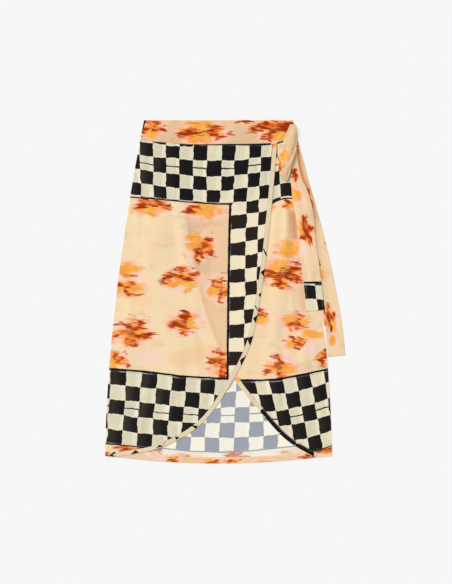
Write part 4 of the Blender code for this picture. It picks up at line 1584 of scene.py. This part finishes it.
def make_back():
    """The back panel, inside up, with its turned-up hem and its half of the waistband."""
    down, across = grid("back_panel")
    side = between(WAISTBAND_HEIGHT + GAP, SIDE_LENGTH, down)
    x = (2 * across - 1) * half_width(side)
    x = x - right_side_in(side) * np.clip(2 * across - 1, 0, 1) ** SIDE_BOW["ease"]
    depth = side + (hem_depth(x) - SIDE_LENGTH) * down
    low = creases(x, depth, BACK_CREASES)
    edges = "left right bottom"
    panel = cloth("back_panel_cloth", x, depth, low, edges, BACK_CLOTH, materials=(INSIDE, FACE))
    check = waist_and_hem_checks("band", "inside", x, depth)
    lay_print(panel, x, depth, check, BACK_BLOSSOMS, field=back_field(x, depth))
    declare(panel, "back_panel", x, depth)

    down, across = grid("back_hem")
    x = (2 * across - 1) * (HEM_HALF - 3 * HEM_INSET)
    depth = hem_depth(x) - HEM_INSET - HEM_FOLD * (1 - down)
    hem = cloth("back_hem_cloth", x, depth, 0 * x + LAYER, "top left right bottom")
    marks = inside_marks(x, depth, CORNER_MARKS)
    lay_print(hem, x, depth, check_place("low", x, depth), HEM_BLOSSOMS, deep=HEM_DEEP, mark=marks)
    declare(hem, "back_hem_fold", x, depth)

    down, across = grid("back_waistband")
    depth = WAISTBAND_HEIGHT * down
    x = (2 * across - 1) * half_width(depth)
    band = cloth("back_waistband_cloth", x, depth, 0 * x, "top left right bottom", materials=(FACE, FACE))
    check = check_place("low", x, depth)
    lay_print(band, x, depth, check, HIDDEN_WAIST_BLOSSOMS, deep=HIDDEN_BAND_DEEP)
    declare(band, "back_waistband", x, depth)


def make_edge_band(node, line, distance, seam_depth, low, blossoms, marked):
    """The narrow band from a panel's free edge inwards, folded double, so a little rounded."""
    run = distance_along(line)[-1]
    down, across = piece_shares("edge_band", run)
    steps = np.sort(across * distance)
    strips = [beside(line, step) for step in steps]
    strips = [along_at(strip, down * distance_along(strip)[-1]) for strip in strips]
    x, depth = np.stack(strips, axis=1).transpose(2, 0, 1)
    depth[0] = seam_depth(x[0]) + GAP
    depth = np.minimum(depth, hem_depth(x) - HEM_INSET)
    free = "right bottom" if distance < 0 else "left bottom"
    droop = BAND_DROOP * (1 - np.abs(steps) / EDGE_BAND) ** 2
    made = cloth(node + "_cloth", x, depth, low(x, depth) - droop, free, BAND_CLOTH, materials=(BAND, BAND))
    lay_print(made, x, depth, check_place("low", x, depth), blossoms, mark=marked(x, depth))
    declare(made, node, x, depth, flat=(EDGE_BAND, run))


def over_edge_marked(x, depth):
    marks = [inside_marks(x, depth, rows) for rows in (OVER_EDGE_MARKS, OVER_CORNER_MARKS)]
    return np.maximum.reduce([*marks, inside_wedges(x, depth, OVER_EDGE_WEDGES)])


def under_edge_marked(x, depth):
    """Marks of the under panel's edge band: it is black between two places of each row of the table,
    which are counted aslant across the skirt. A stretch is longest along the band's middle line."""
    aslant = x + depth
    off_middle = (x - edge_x(UNDER_LINE, depth)) / EDGE_BAND_ASLANT - 1
    shorter = BLACK_ROUND * off_middle**2
    black = [np.minimum(aslant - start, end - aslant) for start, end in zip(*UNDER_EDGE_BLACKS.values())]
    black = [ASLANT_MILLIMETRES * (stretch - shorter) for stretch in black]
    return np.maximum.reduce([*black, inside_marks(x, depth, CORNER_MARKS)])


def make_under():
    """The under panel, its edge band and its hidden waistband."""
    band = ("under_edge_band", UNDER_LINE, EDGE_BAND, under_seam_depth, under_low)
    make_edge_band(*band, UNDER_EDGE_BLOSSOMS, under_edge_marked)

    inner = beside(UNDER_LINE, EDGE_BAND + GAP)
    x, depth = front_panel("under_panel", 1, inner, under_seam_depth)
    panel = cloth("under_panel_cloth", x, depth, under_low(x, depth), "right bottom")
    shade = beside_tie(off_tie(x, depth, SHORT_TIE, -1), depth, TIE_SHADES["under"])
    check = waist_and_hem_checks("under", "right", x, depth)
    values = {
        "field": under_field(x, depth),
        "deep": UNDER_DEEP + shade * (1 - ramp(depth, *UNDER_SHADE_ENDS)),
        "mark": inside_marks(x, depth, CORNER_MARKS),
        "smudge": smudged(x, depth, UNDER_SMUDGES),
        "worn": UNDER_WORN,
    }
    lay_print(panel, x, depth, check, UNDER_BLOSSOMS, **values)
    declare(panel, "under_panel", x, depth)

    down, across = grid("under_waistband")
    left = UNDER_EDGE["x"][0]
    x = between(left, half_width(WAISTBAND_HEIGHT * down), across)
    depth = between(over_top_depth(x) + UNDER_SHORTER, WAISTBAND_HEIGHT, down)
    x = between(left, half_width(depth), across)
    band = cloth("under_waistband_cloth", x, depth, 0 * x + LAYER, "top left right bottom")
    check = check_place("low", x, depth)
    lay_print(band, x, depth, check, WAIST_BLOSSOMS, deep=HIDDEN_BAND_DEEP)
    declare(band, "under_waistband", x, depth)


def make_over():
    """The over panel, its edge band and its gathered waistband."""
    band = ("over_edge_band", OVER_LINE, -EDGE_BAND, over_seam_depth, over_low)
    make_edge_band(*band, OVER_EDGE_BLOSSOMS, over_edge_marked)

    inner = beside(OVER_LINE, -(EDGE_BAND + GAP))
    x, depth = front_panel("over_panel", -1, inner, over_seam_depth)
    panel = cloth("over_panel_cloth", x, depth, over_low(x, depth), "left bottom")
    at_left = ramp(-x, *OVER_WORN["left_across"])
    at_hem = ramp(depth, *OVER_WORN["hem_down"])
    values = {
        "field": over_field(x, depth),
        "deep": over_deep(x, depth),
        "mark": inside_marks(x, depth, OVER_CORNER_MARKS),
        "smudge": smudged(x, depth, OVER_SMUDGES),
        "worn": OVER_WORN["all"] + OVER_WORN["left"] * at_left + OVER_WORN["hem"] * at_hem,
    }
    lay_print(panel, x, depth, over_check(x, depth), OVER_BLOSSOMS, **values)
    declare(panel, "over_panel", x, depth)

    x, depth = over_waistband_places()
    low = over_waistband_low(x, depth)
    # The waistband's top takes the print with painted shade in its ground.
    band = cloth("over_waistband_cloth", x, depth, low, "top left", materials=(SHADED_WAIST, INSIDE))
    # Its marks include a painted shadow along the top edge.
    marks = inside_marks(x, depth, WAIST_MARKS_AND_SHADOW)
    deep = deep_down("waistband", depth - over_top_depth(x))
    lay_print(band, x, depth, check_place("low", x, depth), WAIST_BLOSSOMS, deep=deep, mark=marks)
    declare(band, "over_waistband", x, depth)


def over_waistband_places():
    down, across = grid("over_waistband")
    seam_x = between(-half_width(WAISTBAND_HEIGHT), WAISTBAND_END["bottom"], across)
    top_x = between(-WAIST_HALF, WAISTBAND_END["top"], across)
    depth = between(over_top_depth(top_x), over_seam_depth(seam_x), down)
    return between(top_x, seam_x, down), depth


def over_waistband_low(x, depth):
    """Underside of the over waistband, with its gathers and finer folds between them."""
    finer = creases(x, depth, WAIST_CREASES) * beside_wrap(x, depth)
    return LAYER + OVER_LIFT * on_under_panel(x, depth) + gathers(x, depth) + finer


def tie_places(tie, piece):
    """Places of a tie: a strip of the table's width, square to its middle line. Also how far each
    lies from the middle line."""
    down, across = grid(piece, tie["depth"][-1] - tie["depth"][0])
    depth = between(tie["depth"][0], tie["depth"][-1], down)
    middle = tie_middle(tie, depth)
    lean = np.gradient(middle[:, 0], depth[:, 0])[:, None]
    offset = (across - 0.5) * tie_width(tie, depth) / np.sqrt(1 + lean**2)
    return middle + offset, depth - offset * lean, offset


def make_tie(node, tie, low, blossoms, values):
    """One tie end, held by the knot at its top. Values gives those of its print."""
    x, depth, offset = tie_places(tie, node)
    made = cloth(node + "_cloth", x, depth, low(x, depth), "left right bottom", materials=(FACE, FACE))
    check = check_place("tie", x, depth)
    lay_print(made, depth, offset, check, blossoms, smudge=TIE_SMUDGE, **values(x, depth))
    middle = x.shape[1] // 2
    length = distance_along(np.column_stack((x[:, middle], depth[:, middle])))[-1]
    flat = (float(tie["width"].max()), float(length))
    declare(made, node, x, depth, flat=flat)


def long_tie_values(x, depth):
    shade = beside_tie(off_tie(x, depth, SHORT_TIE, 1), depth, TIE_SHADES["long"])
    deep = deep_down("tie_long", depth) + shade
    return {"deep": deep, "mark": inside_marks(x, depth, LONG_TIE_MARKS)}


def short_tie_values(x, depth):
    field = field_within((TIE_FIELD_END - depth) / LINE_WIDTH["tie"])
    return {"deep": deep_down("tie_short", depth), "field": field}


def make_ties():
    """The long tie end, and the short one that lies on it."""
    make_tie("tie_long", LONG_TIE, long_tie_low, LONG_TIE_BLOSSOMS, long_tie_values)
    make_tie("tie_short", SHORT_TIE, short_tie_low, SHORT_TIE_BLOSSOMS, short_tie_values)


def make_turn(node, turn, low, crown, crease_rows, blossoms, rests_on):
    """A turn of the knot: cloth puffed up between its left and right sides, with creases in it. Shade is
    painted into its ground along its sides, and along a crease line beside its left side at the top."""
    down, across = grid("turn")
    depth = between(turn["depth"][0], turn["depth"][-1], down)
    left, right = [through(depth, turn["depth"], turn[side]) for side in ("left", "right")]
    x = between(left, right, across)
    puff = np.sqrt(hump(across)) * np.sqrt(hump(down))
    crown = crown * puff + creases(x, depth, crease_rows) * np.clip(2 * puff, 0, 1)
    crown = np.maximum(crown, 0)
    # A turn takes the print with painted shade in its ground.
    made = cloth(node + "_cloth", x, depth, low(x, depth), "left right", CLOTH, crown, (SHADED_WAIST, SHADED_WAIST))
    line = bell(x - left - TURN_SHADE["inset"], TURN_SHADE["width"])
    line = line * (1 - ramp(depth, *TURN_SHADE["line_ends"]))
    from_side = np.minimum(right - x, TURN_SHADE["left_narrower"] * (x - left))
    rim = bell(from_side, TURN_SHADE["width"]) * ramp(depth, *TURN_SHADE["rim_starts"])
    deep = TURN_SHADE["all"] + TURN_SHADE["line"] * line + TURN_SHADE["rim"] * rim
    lay_print(made, depth, x, check_place("tie", x, depth), blossoms, deep=deep, smudge=TIE_SMUDGE)
    declare(made, node, x, depth)


def make_knot():
    """The knot's main turn, and the small one on its edge."""
    wrap = (KNOT_WRAP, knot_wrap_low, WRAP_CROWN, WRAP_CREASES, WRAP_BLOSSOMS)
    fold = (KNOT_FOLD, knot_fold_low, FOLD_CROWN, FOLD_CREASES, FOLD_BLOSSOMS)
    make_turn("knot_wrap", *wrap, ["over_waistband"])
    make_turn("knot_fold", *fold, ["knot_wrap"])


# ---------------------------------------------------------------- sewing


def stitch_row(line, top):
    """Start and end of each stitch of a row along a line of (x, depth) places, as two arrays of
    points. Top gives the height of the cloth there."""
    at = np.arange(STITCH["pitch"], distance_along(line)[-1] - STITCH["pitch"], STITCH["pitch"])
    ends = []
    for shift in (-STITCH["length"] / 2, STITCH["length"] / 2):
        x, depth = along_at(line, at + shift).T
        ends.append(np.column_stack((x, LENGTH / 2 - depth, top(x, depth))))
    return ends


def make_stitches(rows):
    """All the visible stitches as one mesh. Each is a low six-sided loaf along the line between its
    ends, made of the rings of LOAF. Its two ends are closed and sunk into the cloth."""
    starts, ends = [np.concatenate([row[k] for row in rows]) for k in (0, 1)]
    along = ends - starts
    side = np.column_stack((-along[:, 1], along[:, 0], 0 * along[:, 0]))
    side /= np.linalg.norm(side, axis=1)[:, None]
    around = np.linspace(0, 2 * math.pi, 6, endpoint=False)
    fullness = LOAF["fullness"][:, None]
    across = fullness * np.cos(around) * STITCH["half_width"]
    up = (fullness * np.sin(around) + LOAF["raised"][:, None]) * STITCH["height"]
    points = starts[:, None, None] + LOAF["place"][None, :, None, None] * along[:, None, None]
    points = points + across[None, :, :, None] * side[:, None, None]
    points[..., 2] += up
    rings, sides = up.shape
    index = np.arange(rings * sides).reshape(rings, sides)
    onward = np.roll(index, -1, axis=1)
    walls = np.stack((index[:-1], onward[:-1], onward[1:], index[1:]), axis=-1).reshape(-1, 4)
    closed = (index[0][::-1], index[-1])
    caps = [ring[half] for half in ([0, 1, 2, 3], [0, 3, 4, 5]) for ring in closed]
    one = np.concatenate((walls, np.array(caps)))
    faces = (one[None] + (np.arange(len(starts)) * rings * sides)[:, None, None]).reshape(-1, 4)
    made = new_piece("stitching", points.reshape(-1, 3), faces, (THREAD,))
    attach(made, "root")


def on_top(low, thickness=CLOTH):
    """Height of the top of a cloth whose underside is at low."""
    return lambda x, depth: low(x, depth) + thickness


def across_skirt(ends, count, line_depth):
    """A line of (x, depth) places from one x to another, at line_depth(x)."""
    x = np.linspace(*ends, count)
    return np.column_stack((x, line_depth(x)))


def sewing_lines():
    """Rows of stitches: along the edge bands' inner sides, above the waist seam, above the hem and
    along the ties' sides."""
    inset = EDGE_BAND - STITCH_INSET
    seam = across_skirt(SEAM_STITCHES, 200, lambda x: over_seam_depth(x) - STITCH_INSET)
    hem = across_skirt(HEM_STITCHES, 300, lambda x: hem_depth(x) - HEM_FOLD + STITCH_INSET)
    rows = [
        stitch_row(beside(OVER_LINE, -inset)[BAND_STITCHES], on_top(over_low, BAND_CLOTH)),
        stitch_row(beside(UNDER_LINE, inset)[BAND_STITCHES], on_top(under_low, BAND_CLOTH)),
        stitch_row(seam, on_top(over_waistband_low)),
        stitch_row(hem, lambda x, depth: 0 * x + LAYER + CLOTH),
    ]
    for tie, low in ((LONG_TIE, long_tie_low), (SHORT_TIE, short_tie_low)):
        x, depth, _ = tie_places(tie, "tie_short")
        for column in TIE_STITCHES["columns"]:
            line = np.column_stack((x[:, column], depth[:, column]))[TIE_STITCHES["rows"]]
            rows.append(stitch_row(line, on_top(low)))
    return rows


# ---------------------------------------------------------------- floor, light and camera


def make_stage():
    """A plain pale floor, lit a little from within so that shadows on it stay faint."""
    corners = np.array([(-1, -1), (1, -1), (1, 1), (-1, 1)]) * FLOOR_HALF
    points = np.column_stack((corners, np.full(4, -GAP)))
    made, n = new_material("floor")
    n.shade(**FLOOR_LOOKS)
    new_piece("floor", points, np.array([(0, 1, 2, 3)]), (made,))


def make_light():
    """A soft key light from the upper left and an even white surround."""
    sun = bpy.data.lights.new("key", "SUN")
    sun.energy = KEY_LIGHT["energy"]
    sun.angle = math.radians(KEY_LIGHT["angle"])
    key = bpy.data.objects.new("key", sun)
    key.rotation_euler = Vector(KEY_LIGHT["from"]).to_track_quat("Z", "Y").to_euler()
    bpy.context.scene.collection.objects.link(key)
    world = bpy.data.worlds.new("surround")
    world.use_nodes = True
    surround = world.node_tree.nodes["Background"]
    surround.inputs["Color"].default_value = WHITE
    surround.inputs["Strength"].default_value = SURROUND_LIGHT
    bpy.context.scene.world = world
    bpy.context.scene.view_settings.view_transform = "Standard"


def make_camera():
    """A camera that looks straight down on the skirt."""
    data = bpy.data.cameras.new("camera")
    data.lens = LENS
    camera = bpy.data.objects.new("camera", data)
    camera.location = CAMERA_AT
    bpy.context.scene.collection.objects.link(camera)
    bpy.context.scene.camera = camera


make_camera()
make_light()
make_stage()
make_back()
make_under()
make_over()
make_ties()
make_knot()
make_stitches(sewing_lines())
